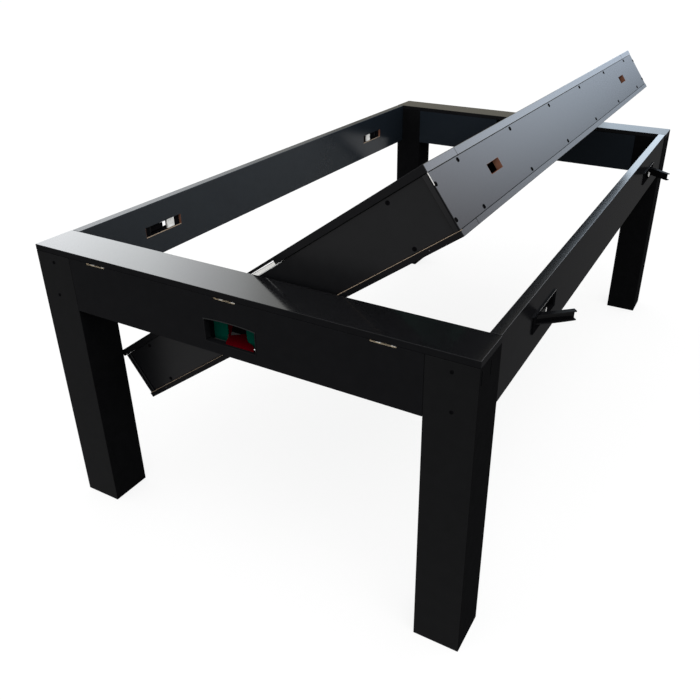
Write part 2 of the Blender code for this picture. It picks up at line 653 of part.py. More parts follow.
def pocket_places():
    """Each pool pocket by name: its centre and its radius."""
    places = {}
    for end_name, end in (("front", -1), ("middle", 0), ("back", 1)):
        for side_name, side in (("left", -1), ("right", 1)):
            inset = CORNER_POCKET_INSET if end else MIDDLE_POCKET_INSET
            radius = CORNER_POCKET_RADIUS if end else MIDDLE_POCKET_RADIUS
            x = side * (CASSETTE_HALF_WIDTH - inset)
            y = end * (CASSETTE_HALF_LENGTH - CORNER_POCKET_INSET)
            places[f"{end_name}_{side_name}"] = ((x, y), radius)
    return places


def cut_pockets(piece, names, low, high):
    for name, (centre, radius) in pocket_places().items():
        if name in names:
            cut(piece, prism_shape(circle(centre, radius), low, high))


def pool_end_board(name, end, finish, parent):
    """An end board of the pool face: full width, with a deep lip that the cushion is fixed to."""
    low = -CASSETTE_HALF_THICKNESS
    deep = low + POOL_RAIL_DEPTH
    along = sorted((end * CASSETTE_HALF_LENGTH, end * (CASSETTE_HALF_LENGTH - POOL_BORDER)))
    left = -CASSETTE_HALF_WIDTH + POOL_BORDER_INSET_LEFT
    board = box_shape((left, along[0], low), (CASSETTE_HALF_WIDTH, along[1], deep))
    piece = chamfer(solid(name, board, finish, parent))
    edge = end * (CASSETTE_HALF_LENGTH + OVERRUN)
    lip = end * (CASSETTE_HALF_LENGTH - POOL_BORDER + POOL_LIP_WIDTH)
    rebate = sorted((edge, lip))
    far = CASSETTE_HALF_WIDTH + OVERRUN
    cut(piece, box_shape((-far, rebate[0], low + POOL_BOARD), (far, rebate[1], deep + OVERRUN)))
    for side in (-1, 1):
        corner = sorted((side * far, side * (CASSETTE_HALF_WIDTH - CORNER_POCKET_INSET)))
        inner = sorted((edge, end * (CASSETTE_HALF_LENGTH - POOL_BORDER - OVERRUN)))
        cut(piece, box_shape((corner[0], inner[0], low + POOL_BOARD), (corner[1], inner[1], deep + OVERRUN)))
    word = "front" if end < 0 else "back"
    cut_pockets(piece, (f"{word}_left", f"{word}_right"), low - OVERRUN, deep + OVERRUN)


def pool_side_board(name, side, finish, parent):
    """A side board of the pool face between the end boards, cut for three pockets."""
    low = -CASSETTE_HALF_THICKNESS
    deep = low + POOL_RAIL_DEPTH
    inset = 0 if side > 0 else POOL_BORDER_INSET_LEFT
    across = sorted((side * (CASSETTE_HALF_WIDTH - inset), side * (CASSETTE_HALF_WIDTH - POOL_BORDER)))
    half = CASSETTE_HALF_LENGTH - POOL_BORDER - SEAM
    piece = solid(name, box_shape((across[0], -half, low), (across[1], half, deep)), finish, parent)
    chamfer(piece)
    lip = side * (CASSETTE_HALF_WIDTH - POOL_BORDER + POOL_LIP_WIDTH)
    rebate = sorted((side * (CASSETTE_HALF_WIDTH + OVERRUN), lip))
    far = half + OVERRUN
    cut(piece, box_shape((rebate[0], -far, low + POOL_BOARD), (rebate[1], far, deep + OVERRUN)))
    word = "right" if side > 0 else "left"
    cut_pockets(piece, (f"front_{word}", f"middle_{word}", f"back_{word}"), low - OVERRUN, deep + OVERRUN)


def pool_bed(name, finish, parent):
    half = END_PANEL_BACK - SEAM
    low = (CORE_LEFT, -half, BED_TOP)
    high = BED_TOP + BED_THICKNESS
    piece = solid(name, box_shape(low, (CORE_RIGHT, half, high)), finish, parent)
    cut_pockets(piece, tuple(pocket_places()), BED_TOP - OVERRUN, high + OVERRUN)


def pocket_cup(name, centre, radius, finish, parent):
    """A deep cup let into the bed, open towards the pool face."""
    outer = radius - SEAM
    inner = outer - POCKET_CUP_WALL
    bottom = BED_TOP + POCKET_CUP_DEPTH
    levels = [(outer, BED_TOP), (outer, bottom), (inner, bottom - POCKET_CUP_WALL), (inner, BED_TOP)]
    shape = bmesh.new()
    rows = [[shape.verts.new((*point, z)) for point in circle(centre, r)] for r, z in levels]
    count = len(rows[0])
    pairs = ((rows[0], rows[1]), (rows[2], rows[3]), (rows[3], rows[0]))
    for row, following in pairs:
        for index in range(count):
            after = (index + 1) % count
            shape.faces.new((row[index], row[after], following[after], following[index]))
    shape.faces.new(rows[1])
    shape.faces.new(rows[2])
    smooth(solid(name, shape, finish, parent))


def cushion(name, start, end, inward, slopes, finish, parent):
    """A rubber cushion between two back-edge points, its ends raked away from the pockets."""
    start, end, inward = Vector(start), Vector(end), Vector(inward)
    along = (end - start).normalized()
    rings = []
    for point, slope, way in ((start, slopes[0], 1), (end, slopes[1], -1)):
        ring = []
        for width_share, depth_share in CUSHION_SECTION_SHARES:
            width = width_share * CUSHION_WIDTH
            place = point + inward * width + along * way * width * slope
            ring.append((place.x, place.y, -CASSETTE_HALF_THICKNESS + depth_share * POOL_RAIL_DEPTH))
        rings.append(ring)
    solid(name, rings_shape(rings), finish, parent)


def cushions(finish, parent):
    """Two end cushions and four side cushions, each stopping short of its pockets."""
    back_gap = POOL_BORDER + SEAM
    reach = math.sqrt(CORNER_POCKET_RADIUS**2 - (CORNER_POCKET_INSET - POOL_BORDER) ** 2)
    corner_stop = CORNER_POCKET_INSET + reach + CUSHION_POCKET_GAP
    middle_stop = MIDDLE_POCKET_RADIUS + CUSHION_POCKET_GAP
    corner, middle = CUSHION_CORNER_SLOPE, CUSHION_MIDDLE_SLOPE
    for word, end in (("front", -1), ("back", 1)):
        y = end * (CASSETTE_HALF_LENGTH - back_gap)
        x = CASSETTE_HALF_WIDTH - corner_stop
        cushion(f"cushion_{word}_end", (-x, y), (x, y), (0, -end), (corner, corner), finish, parent)
        for side_word, side in (("left", -1), ("right", 1)):
            x_side = side * (CASSETTE_HALF_WIDTH - back_gap)
            first = (x_side, end * middle_stop)
            last = (x_side, end * (CASSETTE_HALF_LENGTH - corner_stop))
            cushion(f"cushion_{word}_{side_word}", first, last, (-side, 0), (middle, corner), finish, parent)


def cassette(finishes):
    """The turning unit, drawn level about its long axis and set at the resting tilt."""
    parent = axis_empty("cassette_axis", (0, CASSETTE_MIDDLE, AXIS_HEIGHT), (0, -REST_TILT, 0))
    laminate = finishes["laminate"]
    for word, side in (("left", -1), ("right", 1)):
        side_panel(f"cassette_side_{word}", side, laminate, parent)
        rink_side_board(f"rink_board_{word}", side, laminate, parent)
        pool_side_board(f"pool_board_{word}", side, laminate, parent)
    for word, end in (("front", -1), ("back", 1)):
        end_panel(f"cassette_end_{word}", end, laminate, parent)
        rink_end_board(f"rink_board_{word}", end, laminate, parent)
        pool_end_board(f"pool_board_{word}", end, laminate, parent)
        pivot_shaft(f"pivot_shaft_{word}", end, finishes["steel"], parent)
        goal_plate(f"goal_plate_{word}", end, finishes["white_plastic"], parent)
    playfield("rink_playfield", finishes["white_plastic"], parent)
    pool_bed("pool_bed", finishes["green_lining"], parent)
    for name, (centre, radius) in pocket_places().items():
        pocket_cup(f"pocket_cup_{name}", centre, radius, finishes["black_plastic"], parent)
    cushions(finishes["green_lining"], parent)


def build():
    clear_scene()
    finishes = {
        "laminate": finish_material("black_laminate", (0.010, 0.010, 0.012), 0.35),
        "steel": finish_material("steel", (0.55, 0.55, 0.56), 0.3, 1.0),
        "black_plastic": finish_material("black_plastic", (0.014, 0.014, 0.015), 0.4),
        "white_plastic": finish_material("white_plastic", (0.82, 0.83, 0.82), 0.3),
        "green_lining": finish_material("green_lining", (0.0, 0.10, 0.07), 0.85),
        "red_lining": finish_material("red_lining", (0.22, 0.0, 0.01), 0.7),
    }
    end_rail("front", finishes, 0)
    end_rail("back", finishes, math.pi)
    for end_name, end in (("front", -1), ("back", 1)):
        for side_name, side in (("left", -1), ("right", 1)):
            leg(f"leg_{end_name}_{side_name}", side, end, finishes["laminate"])
            latch(end_name, end, side_name, side, finishes)
    side_rail("left_side_rail", -1, finishes["laminate"])
    side_rail("right_side_rail", 1, finishes["laminate"])
    cassette(finishes)


build()
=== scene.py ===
"""Looks, small fittings and studio for a revolving multi game table."""

import json
import math

import bmesh
import bpy
from bpy.props import FloatProperty, FloatVectorProperty, PointerProperty
from mathutils import Matrix, Vector


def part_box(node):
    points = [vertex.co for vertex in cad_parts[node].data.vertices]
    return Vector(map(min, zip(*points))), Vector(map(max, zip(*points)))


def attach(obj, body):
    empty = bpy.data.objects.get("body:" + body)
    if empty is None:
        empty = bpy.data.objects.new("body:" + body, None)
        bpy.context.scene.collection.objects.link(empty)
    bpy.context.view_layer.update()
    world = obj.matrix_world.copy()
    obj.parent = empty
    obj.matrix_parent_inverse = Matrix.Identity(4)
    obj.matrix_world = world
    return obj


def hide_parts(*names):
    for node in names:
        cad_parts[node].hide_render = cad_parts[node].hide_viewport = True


bl_info = {
    "name": "Revolving Games Table",
    "version": (1, 1, 0),
    "blender": (4, 5, 0),
    "location": "View3D > Sidebar > Games Table",
    "description": "Finishes, fittings and studio for a revolving games table",
    "category": "Object",
}

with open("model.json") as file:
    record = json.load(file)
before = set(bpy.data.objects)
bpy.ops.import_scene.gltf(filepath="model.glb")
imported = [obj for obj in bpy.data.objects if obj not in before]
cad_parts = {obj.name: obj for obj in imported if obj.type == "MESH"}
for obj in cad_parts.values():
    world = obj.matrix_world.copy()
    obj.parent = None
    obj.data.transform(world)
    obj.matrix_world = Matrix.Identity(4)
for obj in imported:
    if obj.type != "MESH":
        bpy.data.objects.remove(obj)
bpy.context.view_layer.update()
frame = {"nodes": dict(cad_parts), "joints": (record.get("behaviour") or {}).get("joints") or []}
NODES = frame["nodes"]
JOINTS = {joint["name"]: joint for joint in frame["joints"]}
ENDS = (("front", -1), ("back", 1))
SIDES = (("left", -1), ("right", 1))
CORNERS = [(word, end, side_word, side) for word, end in ENDS for side_word, side in SIDES]

# The cassette's own frame at rest: u across, v along the table, w out of the puck face
REST_TILT = math.radians(35.8)
PIVOT = Vector(JOINTS["cassette_turn"]["pos_m"])
CASSETTE = Matrix.Translation(PIVOT) @ Matrix.Rotation(-REST_TILT, 4, "Y")


def turned_box(name):
    """The lowest and the highest u, v and w of a cassette node."""
    back = CASSETTE.inverted()
    points = [back @ vertex.co for vertex in NODES[name].data.vertices]
    return [Vector([pick(point[axis] for point in points) for axis in range(3)]) for pick in (min, max)]


# Sizes that the frame gives
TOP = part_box("front_top_cap")[1].z
END_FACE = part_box("leg_back_left")[1].y
LEG_SIDE_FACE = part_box("leg_back_right")[1].x
RAIL_TOP_HALF = Vector((LEG_SIDE_FACE, END_FACE, 0.0003))
HALF_WIDTH = turned_box("rink_board_right")[1].x
HALF_LENGTH = turned_box("rink_board_back")[1].y
HALF_THICKNESS = turned_box("rink_board_right")[1].z
RINK_INNER = turned_box("rink_board_right")[0].x
RINK_BORDER = HALF_WIDTH - RINK_INNER
SIDE_PANEL = {word: turned_box(f"cassette_side_{word}") for word, _ in SIDES}
END_PANEL_FACE = turned_box("cassette_end_back")[1].y
FLANGE_FACE = HALF_LENGTH - 0.0007
LATCH_MIDDLE = sum(corner.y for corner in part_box("latch_housing_back_left")) / 2
LATCH_HEIGHT = JOINTS["latch_back_left_swing"]["pos_m"][2]
BEZEL_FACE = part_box("latch_housing_back_right")[1].x
BEZEL_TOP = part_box("latch_housing_back_right")[1].z
TRAY_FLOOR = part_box("latch_housing_back_right")[0].x

# Places read from the photograph
JOINT_SLOT_PITCH = 0.401
JOINT_SLOT_FROM_FACE = 0.0052
JOINT_SLOT_HEIGHT = 0.7812
JOINT_SLOT_HALF = Vector((0.0310, 0.0034, 0.0030))
DOWEL_SHIFTS = (-0.012, 0.022)
DOWEL_FROM_FACE = 0.0045
DOWEL_FLOOR = 0.7789
TRIM_FACE = END_FACE + 0.0006
WINDOW_TRIM = (0.695, (0.085, 0.0005, 0.0500))
WINDOW_ARCH = (0.730, (0.085, 0.0005, 0.0105))
# The raw mask of a latch cut-out stops short of its top and bottom faces, which keep the black laminate as
# painted shade
LATCH_CUTOUT_HALF = Vector((0.7, 0.0754, 0.0156))
LATCH_SILL_DROP = 0.016
LATCH_SILL_HALF = Vector((0.5865, 0.0754, 0.0004))
BEZEL_SCREW_HALF_PITCH = 0.082
NOSE_START = 0.052
NOSE_DEPTH = 0.016
NOSE_RADIUS = 0.0085
# Outline and height of the black piece that puts painted shade in each tongue slot
SLOT_SHADE_INWARD = (0.0000, 0.0056, 0.0056, 0.0044, 0.0044, -0.0010)
SLOT_SHADE_ALONG = (0.0040, 0.0100, 0.0530, 0.0530, 0.0120, 0.0080)
SLOT_SHADE_HALF_HEIGHT = 0.0085
TONGUE_POCKET_HALF = Vector((0.7, 0.0354, 0.0124))
TONGUE_REACH = 0.0615
PANEL_SCREW_ROWS = 6
PANEL_SCREW_FROM_END = 0.139
PANEL_SCREW_FROM_EDGE = 0.0083
PANEL_END_SCREW_FROM_END = 0.007
PANEL_END_SCREW_HEIGHTS = (0.0350, -0.0445)
END_SCREW_ACROSS = 0.456
END_SCREW_HEIGHTS = (0.0515, -0.0568)
EDGE_PIN_FROM_SIDE = 0.084
LEG_CAP_PLACES = ((0.552, 0.760), (0.556, 0.668))
# Half size of the painted highlight at the top of each side panel's end corner
EDGE_HIGHLIGHT_HALF = Vector((0.0013, 0.0013, 0.0140))
STAND = 0.0001

# Half sizes of the masks that pick out one face
SKIN = 0.0008
BEYOND = 2.0

# The camera, as fitted to the frame's corners and feet in the photograph, in pixels and degrees
IMAGE = 700
IMAGE_MIDDLE = (377.24, 319.64)
FOCAL_LENGTH = 730.25
SENSOR = 36
CAMERA_PLACE = Vector((0.9931, -2.2100, 1.4974))
CAMERA_TURN = (28.26, 27.49, 0.35)

# The studio's levels, and the tone of the reflected room at azimuths around the mirrored camera
FLOOR_GREY = 0.19
FLOOR_GLOW = 0.84
WORLD_LEVEL = 0.95
LAMP_PLACE = Vector((1.8, -2.2, 4.2))
LAMP_TARGET = Vector((0, 0, 0.5))
LAMP_POWER = 60
ROOM_RADIUS = 7.0
ROOM_HEIGHT = 8.0
ROOM_LEVEL = 4.2
ROOM_TONES = (
    (-35, (1.00, 1.00, 1.00)),
    (-19, (2.30, 2.30, 2.50)),
    (-16, (2.50, 2.55, 2.75)),
    (-11.5, (2.85, 3.15, 3.60)),
    (-6, (2.30, 2.65, 3.05)),
    (-3, (1.60, 1.85, 2.20)),
    (3, (1.20, 1.40, 1.70)),
    (7, (2.15, 2.50, 2.85)),
    (11, (2.20, 2.60, 3.00)),
    (13, (0.70, 0.68, 0.60)),
    (15, (0.63, 0.60, 0.50)),
    (27, (0.63, 0.60, 0.50)),
    (30, (0.50, 0.48, 0.42)),
    (36, (1.10, 1.10, 1.05)),
    (38, (1.20, 1.22, 1.20)),
    (40, (1.85, 1.90, 1.90)),
    (43, (2.40, 2.45, 2.50)),
    (47, (3.30, 3.40, 3.45)),
    (53, (4.00, 4.10, 4.20)),
    (75, (4.00, 4.10, 4.20)),
)


def length(name, text, value):
    """A length in metres that the panel lists."""
    return FloatProperty(name=name, description=text, default=value, min=0, max=1, unit="LENGTH", precision=4)


def colour(name, text, value):
    """A colour that the panel lists."""
    return FloatVectorProperty(
        name=name, description=text, default=value, min=0, max=1, size=3, subtype="COLOR"
    )


class FittingSizes(bpy.types.PropertyGroup):
    screw: length("Panel screw", "Diameter of the screw heads on the cassette", 0.0105)
    screw_stand: length("Screw height", "How far a screw head stands proud", 0.0008)
    edge_pin: length("Edge pin", "Diameter of the pins in the pool boards' end edges", 0.0028)
    leg_cap: length("Leg cap", "Diameter of the caps over the leg bolts", 0.0085)
    bezel_screw: length("Bezel screw", "Diameter of the screw heads in the latch bezels", 0.0055)
    flange_bolt: length("Flange bolt", "Width of the bolt heads on the pivot flanges", 0.0085)
    flange_bolt_circle: length("Bolt circle", "Radius at which the flange bolts stand", 0.0240)
    rim: length("Pocket rim", "Width of the moulded rim around a pool pocket", 0.0080)
    rim_wall: length("Rim wall", "Thickness of the moulded rim", 0.0008)
    dowel: length("Joint dowel", "Diameter of the fitting that shows in a joint slot", 0.0022)
    guide: length("Latch guide", "Length of the white guide beside a tongue slot", 0.0300)
    cushion_edge: length("Cushion edge", "How far a cushion's edges are rounded under the cloth", 0.0035)
    hole_pitch: length("Air hole pitch", "Distance between the air holes of the playfield", 0.0250)
    hole: length("Air hole", "Radius of an air hole", 0.0008)


class FinishColours(bpy.types.PropertyGroup):
    laminate: colour("Laminate", "Black laminate of the boards", (0.0052, 0.0053, 0.0060))
    # Lighter, bluer copy of the black laminate: painted bluish light on the frame's inner faces
    inner: colour("Inner laminate", "Laminate inside the frame, a little bluer", (0.0070, 0.0105, 0.0150))
    # Darker copy of the black laminate: painted shade on the legs and the front inner board
    leg: colour("Leg laminate", "Laminate of the legs", (0.0036, 0.0037, 0.0040))
    # Darker copy of the bare fibreboard: painted shade at the ends of the sawn openings and in the tongue
    # pockets
    raw: colour("Raw board", "Bare fibreboard at the ends of the sawn openings", (0.20, 0.072, 0.045))
    # Lighter copy of the bare fibreboard: painted light on the upward sills, and the painted highlight along
    # the pool boards' ledges
    raw_highlight: colour("Raw sill", "Bare fibreboard along the bottom of the sawn openings", (0.46, 0.36, 0.27))
    # Palest copy of the bare fibreboard: painted light in the joint slots
    slot_lit_raw: colour("Pale raw board", "Bare fibreboard in the joint slots", (0.78, 0.66, 0.48))
    green: colour("Green lining", "Lining of the return box", (0.0, 0.060, 0.040))
    red: colour("Red lining", "Lining of the return chute", (0.085, 0.0, 0.003))
    cloth: colour("Cloth", "Cloth of the bed and the cushions", (0.0, 0.11, 0.065))
    sheet: colour("Playfield", "Smooth sheet of the puck face", (0.80, 0.81, 0.80))
    nylon: colour("White nylon", "Tongue noses and guides of the latches", (0.74, 0.74, 0.72))
    moulding: colour("Moulding", "Black moulded plastic", (0.0040, 0.0040, 0.0046))
    steel: colour("Steel", "Pins, pivots and bolts", (0.56, 0.56, 0.57))
    dark_steel: colour("Dark steel", "Blackened screw heads", (0.10, 0.10, 0.11))


def sizes():
    return bpy.context.scene.table_sizes


def colours():
    return bpy.context.scene.table_colours


# Small modelling helpers


def deselect():
    if bpy.context.object and bpy.context.object.mode != "OBJECT":
        bpy.ops.object.mode_set(mode="OBJECT")
    bpy.ops.object.select_all(action="DESELECT")


def activate(piece):
    deselect()
    piece.select_set(True)
    bpy.context.view_layer.objects.active = piece


def named(name):
    """Names the new object and its mesh, and settles its place, turn and size into the mesh."""
    piece = bpy.context.object
    piece.name = piece.data.name = name
    bpy.ops.object.transform_apply(location=True, rotation=True, scale=True)
    return piece


def block(name, low, high):
    """A box between two corners, to be worked further."""
    deselect()
    middle = [(a + b) / 2 for a, b in zip(low, high)]
    bpy.ops.mesh.primitive_cube_add(size=1, location=middle)
    bpy.context.object.scale = [abs(b - a) for a, b in zip(low, high)]
    return named(name)


def select_parts(piece, kind, test):
    """Selects, in edit mode, the vertices, edges or faces for which the test holds."""
    bpy.ops.object.mode_set(mode="EDIT")
    bpy.ops.mesh.select_mode(type=kind)
    bpy.ops.mesh.select_all(action="DESELECT")
    cage = bmesh.from_edit_mesh(piece.data)
    for part in {"VERT": cage.verts, "EDGE": cage.edges, "FACE": cage.faces}[kind]:
        part.select = test(part)
    cage.select_flush_mode()
    bmesh.update_edit_mesh(piece.data)


def leave_edit():
    bpy.ops.object.mode_set(mode="OBJECT")


def apply_modifier(piece, kind, **values):
    activate(piece)
    step = piece.modifiers.new(kind.lower(), kind)
    for name, value in values.items():
        setattr(step, name, value)
    bpy.ops.object.modifier_apply(modifier=step.name)


def ease(piece, width, segments=2, angle=30):
    """Rounds the edges of a piece that are sharper than an angle."""
    limit = math.radians(angle)
    apply_modifier(
        piece, "BEVEL", width=width, segments=segments, limit_method="ANGLE", angle_limit=limit
    )


def smooth(piece, angle=35):
    activate(piece)
    bpy.ops.object.shade_smooth_by_angle(angle=math.radians(angle))


def drum(name, radius, height, steps, ends="NGON"):
    """A cylinder that stands on the XY plane."""
    deselect()
    middle = (0, 0, height / 2)
    bpy.ops.mesh.primitive_cylinder_add(
        vertices=steps, radius=radius, depth=height, end_fill_type=ends, location=middle
    )
    return named(name)


def disc(name, diameter, height, steps=20):
    """A short round head on the XY plane, its face up, with an eased rim."""
    piece = drum(name, diameter / 2, height, steps)
    select_parts(piece, "FACE", lambda face: face.normal.z > 0.9)
    bpy.ops.mesh.bevel(offset=height * 0.45, segments=2, affect="EDGES")
    leave_edit()
    return piece


def cross_recess(piece, diameter, depth):
    """Sinks a cross into the top of a head."""
    top = piece.dimensions.z
    long, short = diameter * 0.31, diameter * 0.075
    for across, along in ((long, short), (short, long)):
        cutter = block("recess", (-across, -along, top - depth), (across, along, top + depth))
        apply_modifier(piece, "BOOLEAN", object=cutter, solver="EXACT")
        bpy.data.objects.remove(cutter, do_unlink=True)


def finish(piece, body, material):
    piece.data.materials.clear()
    piece.data.materials.append(material)
    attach(piece, body)


def repeat(pattern, name, placings, body, material):
    """Copies a pattern to each placing, drops the pattern, joins the copies and finishes the piece."""
    copies = []
    for number, placing in enumerate(placings):
        made = pattern.copy()
        made.data = pattern.data.copy()
        made.name = f"{name}_{number}"
        made.data.transform(placing)
        bpy.context.scene.collection.objects.link(made)
        copies.append(made)
    bpy.data.objects.remove(pattern, do_unlink=True)
    deselect()
    for made in copies:
        made.select_set(True)
    bpy.context.view_layer.objects.active = copies[0]
    bpy.ops.object.join()
    piece = bpy.context.object
    piece.name = piece.data.name = name
    smooth(piece)
    finish(piece, body, material)


def facing(place, normal):
    """A placing whose Z axis points along a normal."""
    return Matrix.Translation(place) @ Vector(normal).to_track_quat("Z", "Y").to_matrix().to_4x4()


def on_cassette(place, normal):
    """The same for a place and a normal in the cassette's own frame."""
    return facing(CASSETTE @ Vector(place), CASSETTE.to_3x3() @ Vector(normal))


# Node groups and the steps that build them


def node_group(name, inputs, outputs):
    """An empty shader node group whose sockets are given as labels with their kinds."""
    tree = bpy.data.node_groups.new(name, "ShaderNodeTree")
    for way, sockets in (("INPUT", inputs), ("OUTPUT", outputs)):
        for label, kind in sockets.items():
            tree.interface.new_socket(label, in_out=way, socket_type=f"NodeSocket{kind}")
    return tree, tree.nodes.new("NodeGroupInput"), tree.nodes.new("NodeGroupOutput")


def connect(tree, value, socket):
    """Feeds a socket with a link, a number or a colour."""
    if isinstance(value, bpy.types.NodeSocket):
        tree.links.new(value, socket)
    elif isinstance(value, (int, float)):
        socket.default_value = value
    elif socket.type == "RGBA":
        socket.default_value = (*value[:3], 1)
    else:
        socket.default_value = value


def math_node(tree, operation, *values):
    node = tree.nodes.new("ShaderNodeMath")
    node.operation = operation
    for value, socket in zip(values, node.inputs):
        connect(tree, value, socket)
    return node.outputs[0]


def vector_node(tree, operation, *values):
    node = tree.nodes.new("ShaderNodeVectorMath")
    node.operation = operation
    for value, socket in zip(values, node.inputs):
        connect(tree, value, socket)
    return node.outputs["Value"] if operation == "DISTANCE" else node.outputs[0]


def split(tree, vector):
    node = tree.nodes.new("ShaderNodeSeparateXYZ")
    tree.links.new(vector, node.inputs[0])
    return node.outputs


def mix_colour(tree, share, first, second):
    node = tree.nodes.new("ShaderNodeMix")
    node.data_type = "RGBA"
    for socket, value in ((node.inputs[0], share), (node.inputs[6], first), (node.inputs[7], second)):
        connect(tree, value, socket)
    return node.outputs[2]


def noise_value(tree, vector, scale, detail=2.0):
    node = tree.nodes.new("ShaderNodeTexNoise")
    node.inputs["Scale"].default_value = scale
    node.inputs["Detail"].default_value = detail
    tree.links.new(vector, node.inputs["Vector"])
    return node.outputs[0]


def spread(tree, value, middle, amount):
    """A value that swings by an amount around a middle, from a noise that runs from 0 to 1."""
    return math_node(tree, "MULTIPLY_ADD", math_node(tree, "SUBTRACT", value, 0.5), amount, middle)


def box_mask_group():
    """1 inside a box that is given by its middle and its half size."""
    inputs = {"Vector": "Vector", "Middle": "Vector", "Half Size": "Vector"}
    tree, start, end = node_group("box_mask", inputs, {"Mask": "Float"})
    away = split(tree, vector_node(tree, "SUBTRACT", start.outputs[0], start.outputs[1]))
    limits = split(tree, start.outputs[2])
    mask = None
    for axis in range(3):
        span = math_node(tree, "ABSOLUTE", away[axis])
        inside = math_node(tree, "LESS_THAN", span, limits[axis])
        mask = inside if mask is None else math_node(tree, "MULTIPLY", mask, inside)
    tree.links.new(mask, end.inputs[0])
    return tree


def laminate_group():
    """The fine pebble, the faint smears and the slight unevenness of pressed laminate."""
    inputs = {"Colour": "Color", "Roughness": "Float", "Vector": "Vector"}
    outputs = {"Colour": "Color", "Roughness": "Float", "Height": "Float"}
    tree, start, end = node_group("laminate_skin", inputs, outputs)
    pebble = noise_value(tree, start.outputs[2], 900, 1)
    smear = noise_value(tree, start.outputs[2], 5, 3)
    cloud = noise_value(tree, start.outputs[2], 38, 4)
    lighter = mix_colour(tree, math_node(tree, "MULTIPLY", cloud, 0.03), start.outputs[0], (0.10, 0.10, 0.11))
    rough = spread(tree, smear, start.outputs[1], 0.10)
    tree.links.new(lighter, end.inputs[0])
    tree.links.new(spread(tree, pebble, rough, 0.05), end.inputs[1])
    tree.links.new(pebble, end.inputs[2])
    return tree


def raw_board_group():
    """Sawn fibreboard: darker fibres in a warm ground."""
    inputs = {"Colour": "Color", "Vector": "Vector"}
    tree, start, end = node_group("raw_board", inputs, {"Colour": "Color"})
    fibres = noise_value(tree, start.outputs[1], 600, 4)
    patches = noise_value(tree, start.outputs[1], 60, 2)
    dark = mix_colour(tree, 0.4, start.outputs[0], (0.03, 0.012, 0.005))
    light = mix_colour(tree, 0.25, start.outputs[0], (0.8, 0.6, 0.4))
    fibred = mix_colour(tree, fibres, start.outputs[0], dark)
    patched = mix_colour(tree, math_node(tree, "MULTIPLY", patches, 0.5), fibred, light)
    tree.links.new(patched, end.inputs[0])
    return tree


def weave_group():
    """Two crossed threads with a little nap."""
    inputs = {"Colour": "Color", "Vector": "Vector"}
    tree, start, end = node_group("cloth_weave", inputs, {"Colour": "Color", "Height": "Float"})
    thread_rate = 3400
    threads = []
    for way in split(tree, start.outputs[1])[:2]:
        threads.append(math_node(tree, "SINE", math_node(tree, "MULTIPLY", way, thread_rate)))
    cross = math_node(tree, "MULTIPLY", *threads)
    nap = noise_value(tree, start.outputs[1], 700, 3)
    shade = noise_value(tree, start.outputs[1], 14, 3)
    darker = mix_colour(tree, 0.45, start.outputs[0], (0, 0.01, 0.008))
    toned = mix_colour(tree, math_node(tree, "MULTIPLY", nap, 0.6), start.outputs[0], darker)
    wear_and_highlight = mix_colour(tree, math_node(tree, "MULTIPLY", shade, 0.25), toned, (0.01, 0.2, 0.13))
    tree.links.new(wear_and_highlight, end.inputs[0])
    tree.links.new(math_node(tree, "MULTIPLY_ADD", cross, 0.25, nap), end.inputs[1])
    return tree


def dot_grid_group():
    """A square grid of round dots in the first two coordinates."""
    inputs = {"Vector": "Vector", "Pitch": "Float", "Radius": "Float"}
    tree, start, end = node_group("dot_grid", inputs, {"Mask": "Float"})
    squares = []
    for way in split(tree, start.outputs[0])[:2]:
        cell = math_node(tree, "DIVIDE", way, start.outputs[1])
        share = math_node(tree, "SUBTRACT", math_node(tree, "FRACT", cell), 0.5)
        away = math_node(tree, "MULTIPLY", share, start.outputs[1])
        squares.append(math_node(tree, "MULTIPLY", away, away))
    distance = math_node(tree, "SQRT", math_node(tree, "ADD", *squares))
    tree.links.new(math_node(tree, "LESS_THAN", distance, start.outputs[2]), end.inputs[0])
    return tree


GROUP_MAKERS = {
    "box_mask": box_mask_group,
    "laminate_skin": laminate_group,
    "raw_board": raw_board_group,
    "cloth_weave": weave_group,
    "dot_grid": dot_grid_group,
}


# Materials


class Shader:
    """One material with its Principled shader and the few steps that all of them share."""

    def __init__(self, name, roughness=0.4, metallic=0.0):
        self.material = bpy.data.materials.new(name)
        self.material.use_nodes = True
        self.tree = self.material.node_tree
        self.surface = self.tree.nodes["Principled BSDF"]
        self.put("Roughness", roughness)
        self.put("Metallic", metallic)
        self.place = self.tree.nodes.new("ShaderNodeTexCoord").outputs["Object"]

    def put(self, socket, value):
        connect(self.tree, value, self.surface.inputs[socket])

    def group(self, name, *values):
        node = self.tree.nodes.new("ShaderNodeGroup")
        node.node_tree = bpy.data.node_groups.get(name) or GROUP_MAKERS[name]()
        for socket, value in zip(node.inputs, values):
            connect(self.tree, value, socket)
        return node.outputs

    def turned(self):
        """Coordinates of the cassette's own frame."""
        node = self.tree.nodes.new("ShaderNodeMapping")
        node.inputs["Rotation"].default_value = (0, REST_TILT, 0)
        self.tree.links.new(vector_node(self.tree, "SUBTRACT", self.place, PIVOT), node.inputs["Vector"])
        return node.outputs[0]

    def bump(self, height, strength, distance=0.0004):
        node = self.tree.nodes.new("ShaderNodeBump")
        node.inputs["Strength"].default_value = strength
        node.inputs["Distance"].default_value = distance
        self.tree.links.new(height, node.inputs["Height"])
        self.put("Normal", node.outputs[0])

    def mask(self, boxes, vector):
        """One mask for several boxes, each given by its middle and its half size."""
        whole = None
        for middle, half in boxes:
            part = self.group("box_mask", vector, middle, half)[0]
            whole = part if whole is None else math_node(self.tree, "MAXIMUM", whole, part)
        return whole

    def cloudy(self, tint, share, other):
        """A colour that turns a little towards another in soft clouds."""
        cloud = noise_value(self.tree, self.place, 32, 3)
        return mix_colour(self.tree, math_node(self.tree, "MULTIPLY", cloud, share), tint, other)


